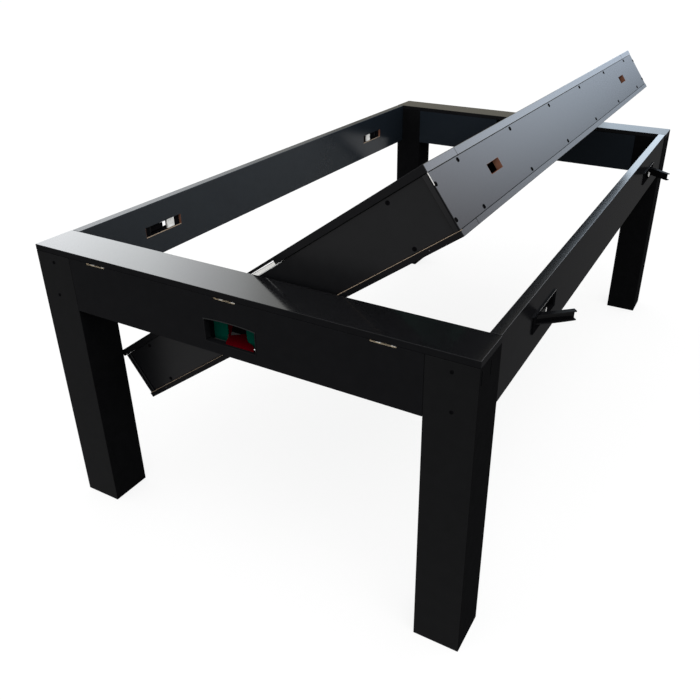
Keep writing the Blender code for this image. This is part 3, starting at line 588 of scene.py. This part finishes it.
def laminate(name, tint=None, roughness=0.34, coat=0.0, gloss=(), raw=(), turned=False, climb=0.0):
    """Pressed black laminate under a clear coat. Gloss is a list of (coat weight, boxes) where the coat
    differs, and raw a list of (colour, boxes) where a saw or another finish shows. Climb is how much
    more the coat weighs per metre towards the puck face."""
    shader = Shader(name, roughness)
    tree = shader.tree
    vector = shader.turned() if turned else shader.place
    shade, rough, height = shader.group("laminate_skin", tint or colours().laminate, roughness, vector)
    shader.put("Specular IOR Level", 0.0)
    shader.put("Coat IOR", 1.5)
    shader.put("Coat Roughness", roughness)
    weight = coat
    for share, boxes in gloss:
        inside = shader.mask(boxes, vector)
        outside = math_node(tree, "SUBTRACT", 1.0, inside)
        weight = math_node(tree, "MULTIPLY_ADD", inside, share, math_node(tree, "MULTIPLY", weight, outside))
    if climb:
        rise = math_node(tree, "MULTIPLY_ADD", split(tree, vector)[2], climb, 1.0)
        weight = math_node(tree, "MULTIPLY", weight, rise)
    for tone, boxes in raw:
        bare = shader.mask(boxes, vector)
        shade = mix_colour(tree, bare, shade, shader.group("raw_board", tone, vector)[0])
        rough = math_node(tree, "MAXIMUM", rough, bare)
        weight = math_node(tree, "MULTIPLY", weight, math_node(tree, "SUBTRACT", 1.0, bare))
    shader.put("Base Color", shade)
    shader.put("Roughness", rough)
    shader.put("Coat Weight", weight)
    shader.bump(height, 0.06)
    return shader.material


def moulding(name, tint=None, roughness=0.34, coat=0.0, shine=(), specular=0.0, nose=None):
    """Moulded plastic with a fine spark texture. Shine boxes get a full coat, and a nose is white nylon."""
    shader = Shader(name, roughness)
    tree = shader.tree
    grain = noise_value(tree, shader.place, 1500, 2)
    cloud = noise_value(tree, shader.place, 30, 3)
    tint = tint or colours().moulding
    shade = mix_colour(tree, math_node(tree, "MULTIPLY", cloud, 0.04), tint, [min(1, v * 3) for v in tint])
    if nose:
        middle, radius = nose
        away = vector_node(tree, "DISTANCE", shader.place, middle)
        shade = mix_colour(tree, math_node(tree, "LESS_THAN", away, radius), shade, colours().nylon)
    shader.put("Base Color", shade)
    shader.put("Specular IOR Level", specular)
    shader.put("Roughness", spread(tree, cloud, roughness, 0.12))
    shader.put("Coat Roughness", roughness * 0.6)
    if shine:
        coat = math_node(tree, "MULTIPLY_ADD", shader.mask(shine, shader.place), 1.0 - coat, coat)
    shader.put("Coat Weight", coat)
    shader.bump(grain, 0.08)
    return shader.material


def steel(name, roughness=0.3, tint=None):
    """Turned steel with fine streaks."""
    shader = Shader(name, roughness, 1.0)
    streaks = noise_value(shader.tree, shader.place, 420, 3)
    tint = tint or colours().steel
    shader.put("Base Color", mix_colour(shader.tree, streaks, tint, [v * 0.7 for v in tint]))
    shader.put("Roughness", spread(shader.tree, streaks, roughness, 0.2))
    shader.bump(streaks, 0.05)
    return shader.material


def cloth(name, tint):
    """Billiard cloth, woven across and along the table."""
    shader = Shader(name, 0.92)
    shade, height = shader.group("cloth_weave", tint, shader.turned())
    shader.put("Base Color", shade)
    shader.put("Specular IOR Level", 0.2)
    shader.put("Sheen Weight", 0.15)
    shader.bump(height, 0.35, 0.0005)
    return shader.material


def lining(name, tint, shade_boxes=()):
    """Painted lining of the return box, with painted shade in black on its side walls."""
    shader = Shader(name, 0.62)
    shade = shader.cloudy(tint, 0.5, [v * 0.55 for v in tint])
    if shade_boxes:
        shade = mix_colour(shader.tree, shader.mask(shade_boxes, shader.place), shade, colours().moulding)
    shader.put("Base Color", shade)
    shader.put("Specular IOR Level", 0.0)
    shader.bump(noise_value(shader.tree, shader.place, 800, 2), 0.2)
    return shader.material


def white_sheet(name):
    """Smooth white sheet, as the goal sills have it."""
    shader = Shader(name, 0.3)
    shader.put("Base Color", shader.cloudy(colours().sheet, 0.12, (0.6, 0.63, 0.65)))
    shader.bump(noise_value(shader.tree, shader.place, 1200, 2), 0.03)
    return shader.material


def playfield(name):
    """Smooth white sheet with air holes drawn as dark dots of painted shade, one centre line and one centre
    circle.
    """
    shader = Shader(name, 0.22)
    tree = shader.tree
    vector = shader.turned()
    holes = shader.group("dot_grid", vector, sizes().hole_pitch, sizes().hole)[0]
    across, along = split(tree, vector)[:2]
    line_half, ring_radius = 0.003, 0.15
    line = math_node(tree, "LESS_THAN", math_node(tree, "ABSOLUTE", along), line_half)
    square = math_node(tree, "MULTIPLY_ADD", across, across, math_node(tree, "MULTIPLY", along, along))
    ring = math_node(tree, "COMPARE", math_node(tree, "SQRT", square), ring_radius, line_half)
    cloud = noise_value(tree, vector, 6, 2)
    shade = mix_colour(tree, math_node(tree, "MULTIPLY", cloud, 0.12), colours().sheet, (0.6, 0.63, 0.65))
    shade = mix_colour(tree, math_node(tree, "MAXIMUM", line, ring), shade, (0.32, 0.02, 0.025))
    # The air holes are near-black dots: painted shade inside each hole
    shader.put("Base Color", mix_colour(tree, holes, shade, (0.02, 0.02, 0.02)))
    shader.put("Roughness", spread(tree, cloud, 0.22, 0.12))
    shader.bump(math_node(tree, "SUBTRACT", 1.0, holes), 0.4)
    return shader.material


def nose_centre(lever):
    """Where the tip of a lever's tongue stands at rest, with the radius that is white."""
    hinge = Vector(JOINTS["latch_" + lever[len("latch_lever_") :] + "_swing"]["pos_m"])
    side = math.copysign(1, hinge.x)
    back = -math.copysign(1, hinge.y)
    points = [vertex.co for vertex in NODES[lever].data.vertices]
    tip = [point for point in points if back * (point.y - hinge.y) > NOSE_START]
    inside = [point for point in tip if side * (point.x - hinge.x) < NOSE_DEPTH]
    middle = sum(inside, Vector()) / len(inside)
    middle.z = hinge.z
    return middle, NOSE_RADIUS


def paint(materials):
    """Puts each material on the nodes whose names begin as given; a longer beginning wins."""
    for name, node in NODES.items():
        starts = [start for start in materials if name.startswith(start)]
        if starts:
            node.data.materials.clear()
            node.data.materials.append(materials[max(starts, key=len)])


def at_ends(distance, height, half):
    """A mask box at each end of the table."""
    return [((0, end * distance, height), half) for end in (-1, 1)]


def at_sides(distance, height, half):
    """A mask box on each side of the table."""
    return [((side * distance, 0, height), half) for side in (-1, 1)]


def paint_frame():
    """A procedural finish on every carried-over piece of the frame."""
    tone = colours()
    top = [((0, 0, TOP), RAIL_TOP_HALF)]
    slots = []
    depth = END_FACE - JOINT_SLOT_FROM_FACE
    for (_, along, height), half in at_ends(depth, JOINT_SLOT_HEIGHT, JOINT_SLOT_HALF):
        slots += [((place * JOINT_SLOT_PITCH, along, height), half) for place in (-1, 0, 1)]
    window = [(0.08, at_ends(TRIM_FACE, *WINDOW_TRIM)), (0.30, at_ends(TRIM_FACE, *WINDOW_ARCH))]
    leg_sides = at_sides(LEG_SIDE_FACE, 0, (SKIN, BEYOND, BEYOND))
    leg_ends = at_ends(END_FACE, 0, (BEYOND, SKIN, BEYOND))
    # Top and bottom faces of each cut-out stay black laminate as painted shade; only the ends and the sill
    # strip show bare board
    cutouts = at_ends(LATCH_MIDDLE, LATCH_HEIGHT, LATCH_CUTOUT_HALF)
    sills = at_ends(LATCH_MIDDLE, LATCH_HEIGHT - LATCH_SILL_DROP, LATCH_SILL_HALF)
    bezel_top_half = (0.7, 0.1, 0.0011)
    bezel_tops = at_ends(LATCH_MIDDLE, BEZEL_TOP, bezel_top_half)
    # Shaded and lit copies of the bare board: the darker tone is painted shade at the cut-out ends, the
    # lighter one painted light on the sills
    sawn = [(tone.raw, cutouts), (tone.raw_highlight, sills)]
    materials = {
        # The joint slots take the palest copy of the bare board as painted light
        "front_apron": laminate("laminate_apron", coat=0.05, gloss=window, raw=[(tone.slot_lit_raw, slots)]),
        # The front inner board takes the darker leg copy of the laminate as painted shade
        "front_inner_board": laminate("laminate_front_inner", tone.leg, 0.5),
        # The far inner board takes the lighter bluish copy of the laminate as painted light
        "back_inner_board": laminate("laminate_back_inner", tone.inner, 0.4, 0.10),
        "front_top_cap": laminate("laminate_cap", None, 0.13, 0.04, [(1.0, top)]),
        "back_top_cap": laminate("laminate_far_cap", None, 0.13, 0.04, [(0.55, top)]),
        # The legs take the darker copy of the laminate as painted shade
        "leg_": laminate("laminate_leg", tone.leg, 0.4, 0.0, [(0.10, leg_ends), (0.01, leg_sides)]),
        # The left rail takes the lighter bluish copy of the laminate as painted light
        "left_side_rail": laminate("laminate_left_rail", tone.inner, 0.2, 0.42, [(0.58, top)], sawn),
        "right_side_rail": laminate("laminate_right_rail", None, 0.17, 0.05, [(1.0, top)], sawn),
        "front_return_chute": lining("red_lining", tone.red),
        "front_pivot_bush": steel("bush_steel"),
        "latch_pin": steel("pin_steel"),
        "latch_housing": moulding("latch_tray", shine=bezel_tops),
    }
    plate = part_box("front_return_plate")
    plate_middle = abs(sum(corner.y for corner in plate) / 2)
    plate_height = 0.70
    # The plate's side strips are painted black: painted shade of the compartment's side walls
    plate_side_shade_half = (0.0045, 0.02, 0.1)
    for word, end in ENDS:
        edges = [((side * plate[1].x, end * plate_middle, plate_height), plate_side_shade_half) for side in (-1, 1)]
        materials[f"{word}_return_plate"] = lining(f"green_lining_and_shade_{word}", tone.green, edges)
    for piece in ("apron", "return_chute", "pivot_bush"):
        materials[f"back_{piece}"] = materials[f"front_{piece}"]
    for name in JOINTS:
        if name.startswith("latch_"):
            lever = "latch_lever_" + name[len("latch_") : -len("_swing")]
            label = lever[len("latch_") :] + "_plastic"
            materials[lever] = moulding(label, roughness=0.3, coat=0.12, nose=nose_centre(lever))
    paint(materials)


def paint_cassette():
    """A procedural finish on every carried-over piece of the cassette."""
    tone = colours()
    one_side = (SKIN, BEYOND, BEYOND)
    outer = at_sides(HALF_WIDTH, 0, one_side)
    panels = [((face, 0, 0), one_side) for face in (SIDE_PANEL["left"][0].x, SIDE_PANEL["right"][1].x)]
    pool_outer = outer + [((turned_box("pool_board_left")[0].x, 0, 0), one_side)]
    # A thin pale line along each pool board's ledge: painted highlight where the lip catches the light
    ledge_highlight_line = 0.0009
    ledge_highlight_half = (BEYOND, HALF_LENGTH - END_PANEL_FACE, ledge_highlight_line)
    ledge_highlights = at_ends(HALF_LENGTH, SIDE_PANEL["left"][0].z, ledge_highlight_half)
    pockets = at_ends(LATCH_MIDDLE, 0, TONGUE_POCKET_HALF)
    reach = 0.0005
    wall_drop = 0.0110
    wall_half = (RINK_INNER + reach, HALF_LENGTH - RINK_BORDER + reach, 0.0095)
    inner_walls = [((0, 0, HALF_THICKNESS - wall_drop), wall_half)]
    corner = SIDE_PANEL["right"][1]
    # The top of each end corner of the right side panel is painted white as a highlight
    wear_and_highlight = [((corner.x, end * corner.y, corner.z - EDGE_HIGHLIGHT_HALF.z), EDGE_HIGHLIGHT_HALF) for end in (-1, 1)]
    black_line = 0.004
    panel_ends = at_ends(corner.y, 0, (corner.x - black_line, SKIN, BEYOND))
    materials = {
        "cassette_side_": laminate(
            "laminate_cassette_side",
            roughness=0.24,
            coat=0.04,
            gloss=[(0.30, panel_ends), (0.55, panels)],
            raw=[(tone.raw, pockets), (tone.sheet, wear_and_highlight)],
            turned=True,
            climb=3.9,
        # The tongue pockets take the darker copy of the bare board as painted shade
        ),
        "cassette_end_": laminate("laminate_cassette_end", coat=0.27, turned=True),
        "rink_board_": laminate(
            "laminate_rink_board", None, 0.24, 0.10, [(1.0, outer)], [(tone.sheet, inner_walls)], True
        ),
        # The pool boards' ledge lines take the lit bare-board tone as a painted highlight
        "pool_board_": laminate(
            "laminate_pool_board", None, 0.26, 0.08, [(0.5, pool_outer)], [(tone.raw_highlight, ledge_highlights)], True
        ),
        "rink_playfield": playfield("playfield_sheet"),
        "goal_plate_": white_sheet("goal_sheet"),
        "pool_bed": cloth("bed_cloth", tone.cloth),
        "cushion_": cloth("cushion_cloth", tone.cloth),
        "pocket_cup_": moulding("pocket_moulding", roughness=0.45),
        "pivot_shaft_": steel("shaft_steel"),
    }
    paint(materials)


class TABLE_OT_finishes(bpy.types.Operator):
    """Give every carried-over piece its finish"""

    bl_idname = "table.finishes"
    bl_label = "Finishes"

    def execute(self, context):
        paint_frame()
        paint_cassette()
        return {"FINISHED"}


class TABLE_OT_cloth_cushions(bpy.types.Operator):
    """Cover the rubber cushions of the pool table with rounded cloth"""

    bl_idname = "table.cloth_cushions"
    bl_label = "Cloth Cushions"

    def execute(self, context):
        material = NODES["pool_bed"].data.materials[0]
        for name in [name for name in NODES if name.startswith("cushion_")]:
            piece = NODES[name].copy()
            piece.data = NODES[name].data.copy()
            piece.name = piece.data.name = f"cloth_{name}"
            bpy.context.scene.collection.objects.link(piece)
            activate(piece)
            bpy.ops.object.mode_set(mode="EDIT")
            bpy.ops.mesh.select_all(action="SELECT")
            bpy.ops.mesh.remove_doubles(threshold=0.00001)
            bpy.ops.mesh.dissolve_limited(angle_limit=math.radians(1))
            leave_edit()
            ease(piece, sizes().cushion_edge, 4, 20)
            smooth(piece, 50)
            finish(piece, "cassette", material)
            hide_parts(name)
        return {"FINISHED"}


class TABLE_OT_panel_screws(bpy.types.Operator):
    """Add the screws in the cassette's side and end panels, and the pins in the pool boards' ends"""

    bl_idname = "table.panel_screws"
    bl_label = "Panel Screws"

    def execute(self, context):
        last = HALF_LENGTH - PANEL_SCREW_FROM_END
        pitch = 2 * last / (PANEL_SCREW_ROWS - 1)
        for word, side in SIDES:
            low, high = SIDE_PANEL[word]
            face = (high.x if side > 0 else low.x) + side * STAND
            heights = (high.z - PANEL_SCREW_FROM_EDGE, low.z + PANEL_SCREW_FROM_EDGE)
            places = [(face, row * pitch - last, w) for row in range(PANEL_SCREW_ROWS) for w in heights]
            far = HALF_LENGTH - PANEL_END_SCREW_FROM_END
            places += [(face, end * far, w) for end in (-1, 1) for w in PANEL_END_SCREW_HEIGHTS]
            self.screws(f"panel_screws_{word}", places, (side, 0, 0))
        for word, end in ENDS:
            face = end * (END_PANEL_FACE + STAND)
            places = [(side * END_SCREW_ACROSS, face, w) for side in (-1, 1) for w in END_SCREW_HEIGHTS]
            self.screws(f"end_screws_{word}", places, (0, end, 0))
            self.pins(f"edge_pins_{word}", end)
        return {"FINISHED"}

    def screws(self, name, places, normal):
        head = disc("screw_head", sizes().screw, sizes().screw_stand)
        cross_recess(head, sizes().screw, sizes().screw_stand * 0.7)
        spots = [on_cassette(place, normal) for place in places]
        repeat(head, name, spots, "cassette", moulding(f"{name}_black", roughness=0.5))

    def pins(self, name, end):
        head = disc("pin_head", sizes().edge_pin, sizes().screw_stand, 16)
        height = (SIDE_PANEL["left"][0].z - HALF_THICKNESS) / 2
        across = HALF_WIDTH - EDGE_PIN_FROM_SIDE
        face = end * (HALF_LENGTH + STAND)
        spots = [on_cassette((side * across, face, height), (0, end, 0)) for side in (-1, 1)]
        repeat(head, name, spots, "cassette", steel(f"{name}_steel", tint=colours().dark_steel))


class TABLE_OT_leg_caps(bpy.types.Operator):
    """Add the caps over the bolts at the top of each leg"""

    bl_idname = "table.leg_caps"
    bl_label = "Leg Caps"

    def execute(self, context):
        material = moulding("leg_cap_black", roughness=0.5)
        for word, end, side_word, side in CORNERS:
            cap = disc("leg_cap", sizes().leg_cap, sizes().leg_cap / 10, 28)
            select_parts(cap, "FACE", lambda face: face.normal.z > 0.9)
            bpy.ops.mesh.inset(thickness=sizes().leg_cap * 0.16, depth=-sizes().leg_cap / 30)
            leave_edit()
            spots = [facing((side * x, end * (END_FACE + STAND), z), (0, end, 0)) for x, z in LEG_CAP_PLACES]
            repeat(cap, f"leg_caps_{word}_{side_word}", spots, "frame", material)
        return {"FINISHED"}


class TABLE_OT_latch_fittings(bpy.types.Operator):
    """Add the bezel screws and the white guides of the latches, and black pieces that put painted shade in
    the tongue slots
    """

    bl_idname = "table.latch_fittings"
    bl_label = "Latch Fittings"

    def execute(self, context):
        white = moulding("guide_nylon", colours().nylon, roughness=0.4, specular=0.4)
        # The black slot pieces are painted shade in the tongue slots
        black = moulding("guard_black", roughness=0.4)
        for word, end, side_word, side in CORNERS:
            corner = f"{word}_{side_word}"
            self.bezel_screws(f"bezel_screws_{corner}", end, side)
            self.guide(f"latch_guide_{corner}", end, side, white)
            self.guard(f"latch_guard_{corner}", end, side, black, f"lever_{corner}")
        return {"FINISHED"}

    def bezel_screws(self, name, end, side):
        size = sizes().bezel_screw
        head = disc("bezel_screw", size, size / 11, 16)
        cross_recess(head, size, size / 16)
        face = side * (BEZEL_FACE + STAND)
        spots = []
        for way in (-1, 1):
            along = end * LATCH_MIDDLE + way * BEZEL_SCREW_HALF_PITCH
            spots.append(facing((face, along, LATCH_HEIGHT), (side, 0, 0)))
        repeat(head, name, spots, "frame", moulding(f"{name}_black", roughness=0.4))

    def guide(self, name, end, side, material):
        """A white block behind the tray, beside the slot that the tongue swings through."""
        pivot = JOINTS["latch_" + name[len("latch_guide_") :] + "_swing"]["pos_m"]
        gap, depth, drop, rise = 0.0020, 0.0065, 0.0135, 0.0150
        start = abs(pivot[1]) - TONGUE_REACH - gap
        stop = start - sizes().guide
        foot, crown = side * (TRAY_FLOOR - STAND), side * (TRAY_FLOOR - depth)
        low, high = LATCH_HEIGHT - drop, LATCH_HEIGHT + rise
        piece = block(name, (foot, end * start, low), (crown, end * stop, high))
        select_parts(piece, "FACE", lambda face: side * face.normal.x < -0.9)
        bpy.ops.mesh.inset(thickness=0.004, depth=0)
        bpy.ops.mesh.inset(thickness=0.0012, depth=-0.0015)
        leave_edit()
        ease(piece, 0.0008)
        smooth(piece)
        finish(piece, "frame", material)

    def guard(self, name, end, side, material, body):
        """A thin black piece, carried by the lever, that puts painted shade in the slot beside the tongue at
        rest.
        """
        hinge = Vector(JOINTS["latch_" + name[len("latch_guard_") :] + "_swing"]["pos_m"])
        deselect()
        bpy.ops.mesh.primitive_circle_add(vertices=len(SLOT_SHADE_ALONG), fill_type="NGON")
        piece = named(name)
        for vertex, inward, along in zip(piece.data.vertices, SLOT_SHADE_INWARD, SLOT_SHADE_ALONG):
            vertex.co = (hinge.x - side * inward, hinge.y - end * along, hinge.z - SLOT_SHADE_HALF_HEIGHT)
        bpy.ops.object.mode_set(mode="EDIT")
        bpy.ops.mesh.select_all(action="SELECT")
        bpy.ops.mesh.extrude_region_move(TRANSFORM_OT_translate={"value": (0, 0, 2 * SLOT_SHADE_HALF_HEIGHT)})
        bpy.ops.mesh.select_all(action="SELECT")
        bpy.ops.mesh.normals_make_consistent(inside=False)
        leave_edit()
        ease(piece, 0.0003)
        smooth(piece)
        finish(piece, body, material)


class TABLE_OT_flange_bolts(bpy.types.Operator):
    """Add the bolts that hold each pivot flange to its end panel"""

    bl_idname = "table.flange_bolts"
    bl_label = "Flange Bolts"

    def execute(self, context):
        size = sizes().flange_bolt
        for word, end in ENDS:
            head = drum("bolt_head", size / 2, size * 0.35, 6)
            select_parts(head, "FACE", lambda face: face.normal.z > 0.9)
            bpy.ops.mesh.inset(thickness=size * 0.08, depth=size * 0.035)
            leave_edit()
            spots = []
            for quarter in range(4):
                angle = math.radians(45 + 90 * quarter)
                radius = sizes().flange_bolt_circle
                place = (radius * math.cos(angle), end * (FLANGE_FACE + STAND), radius * math.sin(angle))
                spots.append(on_cassette(place, (0, end, 0)))
            repeat(head, f"flange_bolts_{word}", spots, "cassette", steel(f"bolt_steel_{word}"))
        return {"FINISHED"}


class TABLE_OT_joint_dowels(bpy.types.Operator):
    """Add the fittings that show inside the joint slots of the end rails"""

    bl_idname = "table.joint_dowels"
    bl_label = "Joint Dowels"

    def execute(self, context):
        size = sizes().dowel
        for word, end in ENDS:
            deselect()
            lying = (0, math.pi / 2, 0)
            bpy.ops.mesh.primitive_cylinder_add(vertices=16, radius=size / 2, depth=size * 5, rotation=lying)
            rod = named("dowel")
            select_parts(rod, "FACE", lambda face: abs(face.normal.x) > 0.9)
            bpy.ops.mesh.bevel(offset=size * 0.2, segments=2, affect="EDGES")
            leave_edit()
            depth, height = end * (END_FACE - DOWEL_FROM_FACE), DOWEL_FLOOR + size / 2
            spots = [
                Matrix.Translation((place * JOINT_SLOT_PITCH + shift, depth, height))
                for place in (-1, 0, 1)
                for shift in DOWEL_SHIFTS
            ]
            white = moulding(f"dowel_white_{word}", colours().nylon, specular=0.4)
            repeat(rod, f"joint_dowels_{word}", spots, "frame", white)
        return {"FINISHED"}


class TABLE_OT_pocket_rims(bpy.types.Operator):
    """Add the moulded rims that line the rail side of each pool pocket"""

    bl_idname = "table.pocket_rims"
    bl_label = "Pocket Rims"

    def execute(self, context):
        material = moulding("rim_moulding", roughness=0.4)
        play, corner_span, middle_span = 0.0004, 112, 84
        for name in [name for name in NODES if name.startswith("pocket_cup_")]:
            low, high = turned_box(name)
            centre = (low + high) / 2
            radius = (high.x - low.x) / 2 - play
            end = 0 if abs(centre.y) < 0.1 else math.copysign(1, centre.y)
            outward = math.atan2(end, math.copysign(1, centre.x))
            half_span = math.radians(corner_span if end else middle_span)
            self.rim("pocket_rim_" + name[len("pocket_cup_") :], centre, radius, outward, half_span, material)
        return {"FINISHED"}

    def rim(self, name, centre, radius, outward, half_span, material):
        """An open sleeve with a flange at its mouth, left only where the boards are."""
        skirt, wall = 0.010, sizes().rim_wall
        piece = drum(name, radius - wall, skirt, 72, "NOTHING")
        select_parts(piece, "EDGE", lambda edge: all(vertex.co.z < wall for vertex in edge.verts))
        bpy.ops.mesh.extrude_edges_move()
        spread_to = (radius + sizes().rim) / (radius - wall)
        bpy.ops.transform.resize(value=(spread_to, spread_to, 1))

        def away(face):
            spot = face.calc_center_median()
            turn = math.atan2(spot.y, spot.x) - outward
            return abs((turn + math.pi) % (2 * math.pi) - math.pi) > half_span

        select_parts(piece, "FACE", away)
        bpy.ops.mesh.delete(type="FACE")
        bpy.ops.mesh.select_all(action="SELECT")
        bpy.ops.mesh.normals_make_consistent(inside=False)
        leave_edit()
        apply_modifier(piece, "SOLIDIFY", thickness=wall, offset=0)
        ease(piece, wall * 0.3, 1, 60)
        mouth = -HALF_THICKNESS - wall / 2 - STAND
        piece.data.transform(CASSETTE @ Matrix.Translation((centre.x, centre.y, mouth)))
        smooth(piece)
        finish(piece, "cassette", material)


class TABLE_OT_studio(bpy.types.Operator):
    """Set up the floor, the world, the reflected room, the lamp and the camera"""

    bl_idname = "table.studio"
    bl_label = "Studio"

    def execute(self, context):
        self.floor()
        self.world()
        self.room()
        self.lamp()
        self.camera()
        context.scene.view_settings.view_transform = "Standard"
        return {"FINISHED"}

    def shown(self, tree):
        """1 for camera, glossy and transmission rays."""
        path = tree.nodes.new("ShaderNodeLightPath")
        both = math_node(tree, "MAXIMUM", path.outputs["Is Camera Ray"], path.outputs["Is Glossy Ray"])
        return math_node(tree, "MAXIMUM", both, path.outputs["Is Transmission Ray"])

    def plain_material(self, name):
        material = bpy.data.materials.new(name)
        material.use_nodes = True
        tree = material.node_tree
        tree.nodes.clear()
        return material, tree, tree.nodes.new("ShaderNodeOutputMaterial").inputs["Surface"]

    def floor(self):
        deselect()
        bpy.ops.mesh.primitive_plane_add(size=60, location=(0, 0, -2 * STAND))
        floor = bpy.context.object
        floor.name = "studio_floor"
        material, tree, out = self.plain_material("studio_floor")
        cover = tree.nodes.new("ShaderNodeBsdfDiffuse")
        cover.inputs["Color"].default_value = (FLOOR_GREY, FLOOR_GREY, FLOOR_GREY, 1)
        lift = tree.nodes.new("ShaderNodeEmission")
        tree.links.new(math_node(tree, "MULTIPLY", self.shown(tree), FLOOR_GLOW), lift.inputs["Strength"])
        total = tree.nodes.new("ShaderNodeAddShader")
        tree.links.new(cover.outputs[0], total.inputs[0])
        tree.links.new(lift.outputs[0], total.inputs[1])
        tree.links.new(total.outputs[0], out)
        floor.data.materials.append(material)

    def world(self):
        world = bpy.data.worlds.new("studio")
        bpy.context.scene.world = world
        world.use_nodes = True
        tree = world.node_tree
        back = tree.nodes["Background"]
        back.inputs["Color"].default_value = (1, 1, 1, 1)
        level = math_node(tree, "MULTIPLY_ADD", self.shown(tree), 1 - WORLD_LEVEL, WORLD_LEVEL)
        tree.links.new(level, back.inputs["Strength"])

    def room(self):
        """A curved wall that only glossy rays meet: a bright window, a dim corner and a pale far side."""
        first, last = ROOM_TONES[0][0], ROOM_TONES[-1][0]
        mirrored_camera = Vector((*CAMERA_PLACE.xy, 2 * TOP - CAMERA_PLACE.z))
        above_top = 0.2
        deselect()
        middle = mirrored_camera + Vector((0, 0, ROOM_HEIGHT / 2 + above_top))
        bpy.ops.mesh.primitive_cylinder_add(
            vertices=180, radius=ROOM_RADIUS, depth=ROOM_HEIGHT, end_fill_type="NOTHING", location=middle
        )
        wall = bpy.context.object
        wall.name = "studio_room"

        def outside(face):
            spot = face.calc_center_median()
            return not first < math.degrees(math.atan2(-spot.x, spot.y)) < last

        select_parts(wall, "FACE", outside)
        bpy.ops.mesh.delete(type="FACE")
        leave_edit()
        material, tree, out = self.plain_material("studio_room")
        place = split(tree, tree.nodes.new("ShaderNodeTexCoord").outputs["Object"])
        turn = math_node(tree, "ARCTAN2", math_node(tree, "MULTIPLY", place[0], -1.0), place[1])
        degrees = math_node(tree, "DEGREES", turn)
        span = last - first
        along = math_node(tree, "MULTIPLY_ADD", degrees, 1 / span, -first / span)
        ramp = tree.nodes.new("ShaderNodeValToRGB")
        tree.links.new(along, ramp.inputs[0])
        for number, (azimuth, tint) in enumerate(ROOM_TONES):
            position = (azimuth - first) / span
            if number < 2:
                stop = ramp.color_ramp.elements[number]
                stop.position = position
            else:
                stop = ramp.color_ramp.elements.new(position)
            stop.color = (*[v / ROOM_LEVEL for v in tint], 1)
        lamp = tree.nodes.new("ShaderNodeEmission")
        tree.links.new(ramp.outputs[0], lamp.inputs["Color"])
        lamp.inputs["Strength"].default_value = ROOM_LEVEL
        tree.links.new(lamp.outputs[0], out)
        wall.data.materials.append(material)
        wall.visible_camera = wall.visible_diffuse = wall.visible_shadow = False
        wall.visible_transmission = wall.visible_volume_scatter = False

    def lamp(self):
        data = bpy.data.lights.new("key_light", "AREA")
        data.shape = "RECTANGLE"
        data.size = data.size_y = 3.0
        data.energy = LAMP_POWER
        lamp = bpy.data.objects.new("key_light", data)
        bpy.context.scene.collection.objects.link(lamp)
        lamp.location = LAMP_PLACE
        lamp.rotation_euler = (LAMP_TARGET - LAMP_PLACE).to_track_quat("-Z", "Y").to_euler()
        lamp.visible_camera = False

    def camera(self):
        """The view that was fitted to the frame's corners and feet in the photograph."""
        yaw, pitch, roll = (math.radians(v) for v in CAMERA_TURN)
        ahead = Vector((-math.sin(yaw) * math.cos(pitch), math.cos(yaw) * math.cos(pitch), -math.sin(pitch)))
        level = Vector((math.cos(yaw), math.sin(yaw), 0))
        rise = level.cross(ahead)
        across = level * math.cos(roll) + rise * math.sin(roll)
        up = rise * math.cos(roll) - level * math.sin(roll)
        data = bpy.data.cameras.new("camera")
        data.sensor_width = SENSOR
        data.lens = FOCAL_LENGTH / IMAGE * SENSOR
        data.shift_x = (IMAGE / 2 - IMAGE_MIDDLE[0]) / IMAGE
        data.shift_y = (IMAGE_MIDDLE[1] - IMAGE / 2) / IMAGE
        camera = bpy.data.objects.new("camera", data)
        camera.rotation_euler = Matrix((across, up, -ahead)).transposed().to_euler()
        camera.location = CAMERA_PLACE
        bpy.context.scene.collection.objects.link(camera)
        bpy.context.scene.camera = camera


class TABLE_PT_panel(bpy.types.Panel):
    bl_idname = "TABLE_PT_panel"
    bl_label = "Games Table"
    bl_space_type = "VIEW_3D"
    bl_region_type = "UI"
    bl_category = "Games Table"

    def draw(self, context):
        layout = self.layout
        for group in (context.scene.table_sizes, context.scene.table_colours):
            for name in group.bl_rna.properties.keys():
                if name not in ("name", "rna_type"):
                    layout.prop(group, name)
        for operator in STEPS:
            layout.operator(operator.bl_idname)


STEPS = (
    TABLE_OT_finishes,
    TABLE_OT_cloth_cushions,
    TABLE_OT_panel_screws,
    TABLE_OT_leg_caps,
    TABLE_OT_latch_fittings,
    TABLE_OT_flange_bolts,
    TABLE_OT_joint_dowels,
    TABLE_OT_pocket_rims,
    TABLE_OT_studio,
)
CLASSES = (FittingSizes, FinishColours, *STEPS, TABLE_PT_panel)


def register():
    for made in CLASSES:
        bpy.utils.register_class(made)
    bpy.types.Scene.table_sizes = PointerProperty(type=FittingSizes)
    bpy.types.Scene.table_colours = PointerProperty(type=FinishColours)


def unregister():
    del bpy.types.Scene.table_colours
    del bpy.types.Scene.table_sizes
    for made in reversed(CLASSES):
        bpy.utils.unregister_class(made)


def main():
    register()
    bpy.ops.table.finishes()
    bpy.ops.table.cloth_cushions()
    bpy.ops.table.panel_screws()
    bpy.ops.table.leg_caps()
    bpy.ops.table.latch_fittings()
    bpy.ops.table.flange_bolts()
    bpy.ops.table.joint_dowels()
    bpy.ops.table.pocket_rims()
    bpy.ops.table.studio()


if __name__ == "__main__":
    main()
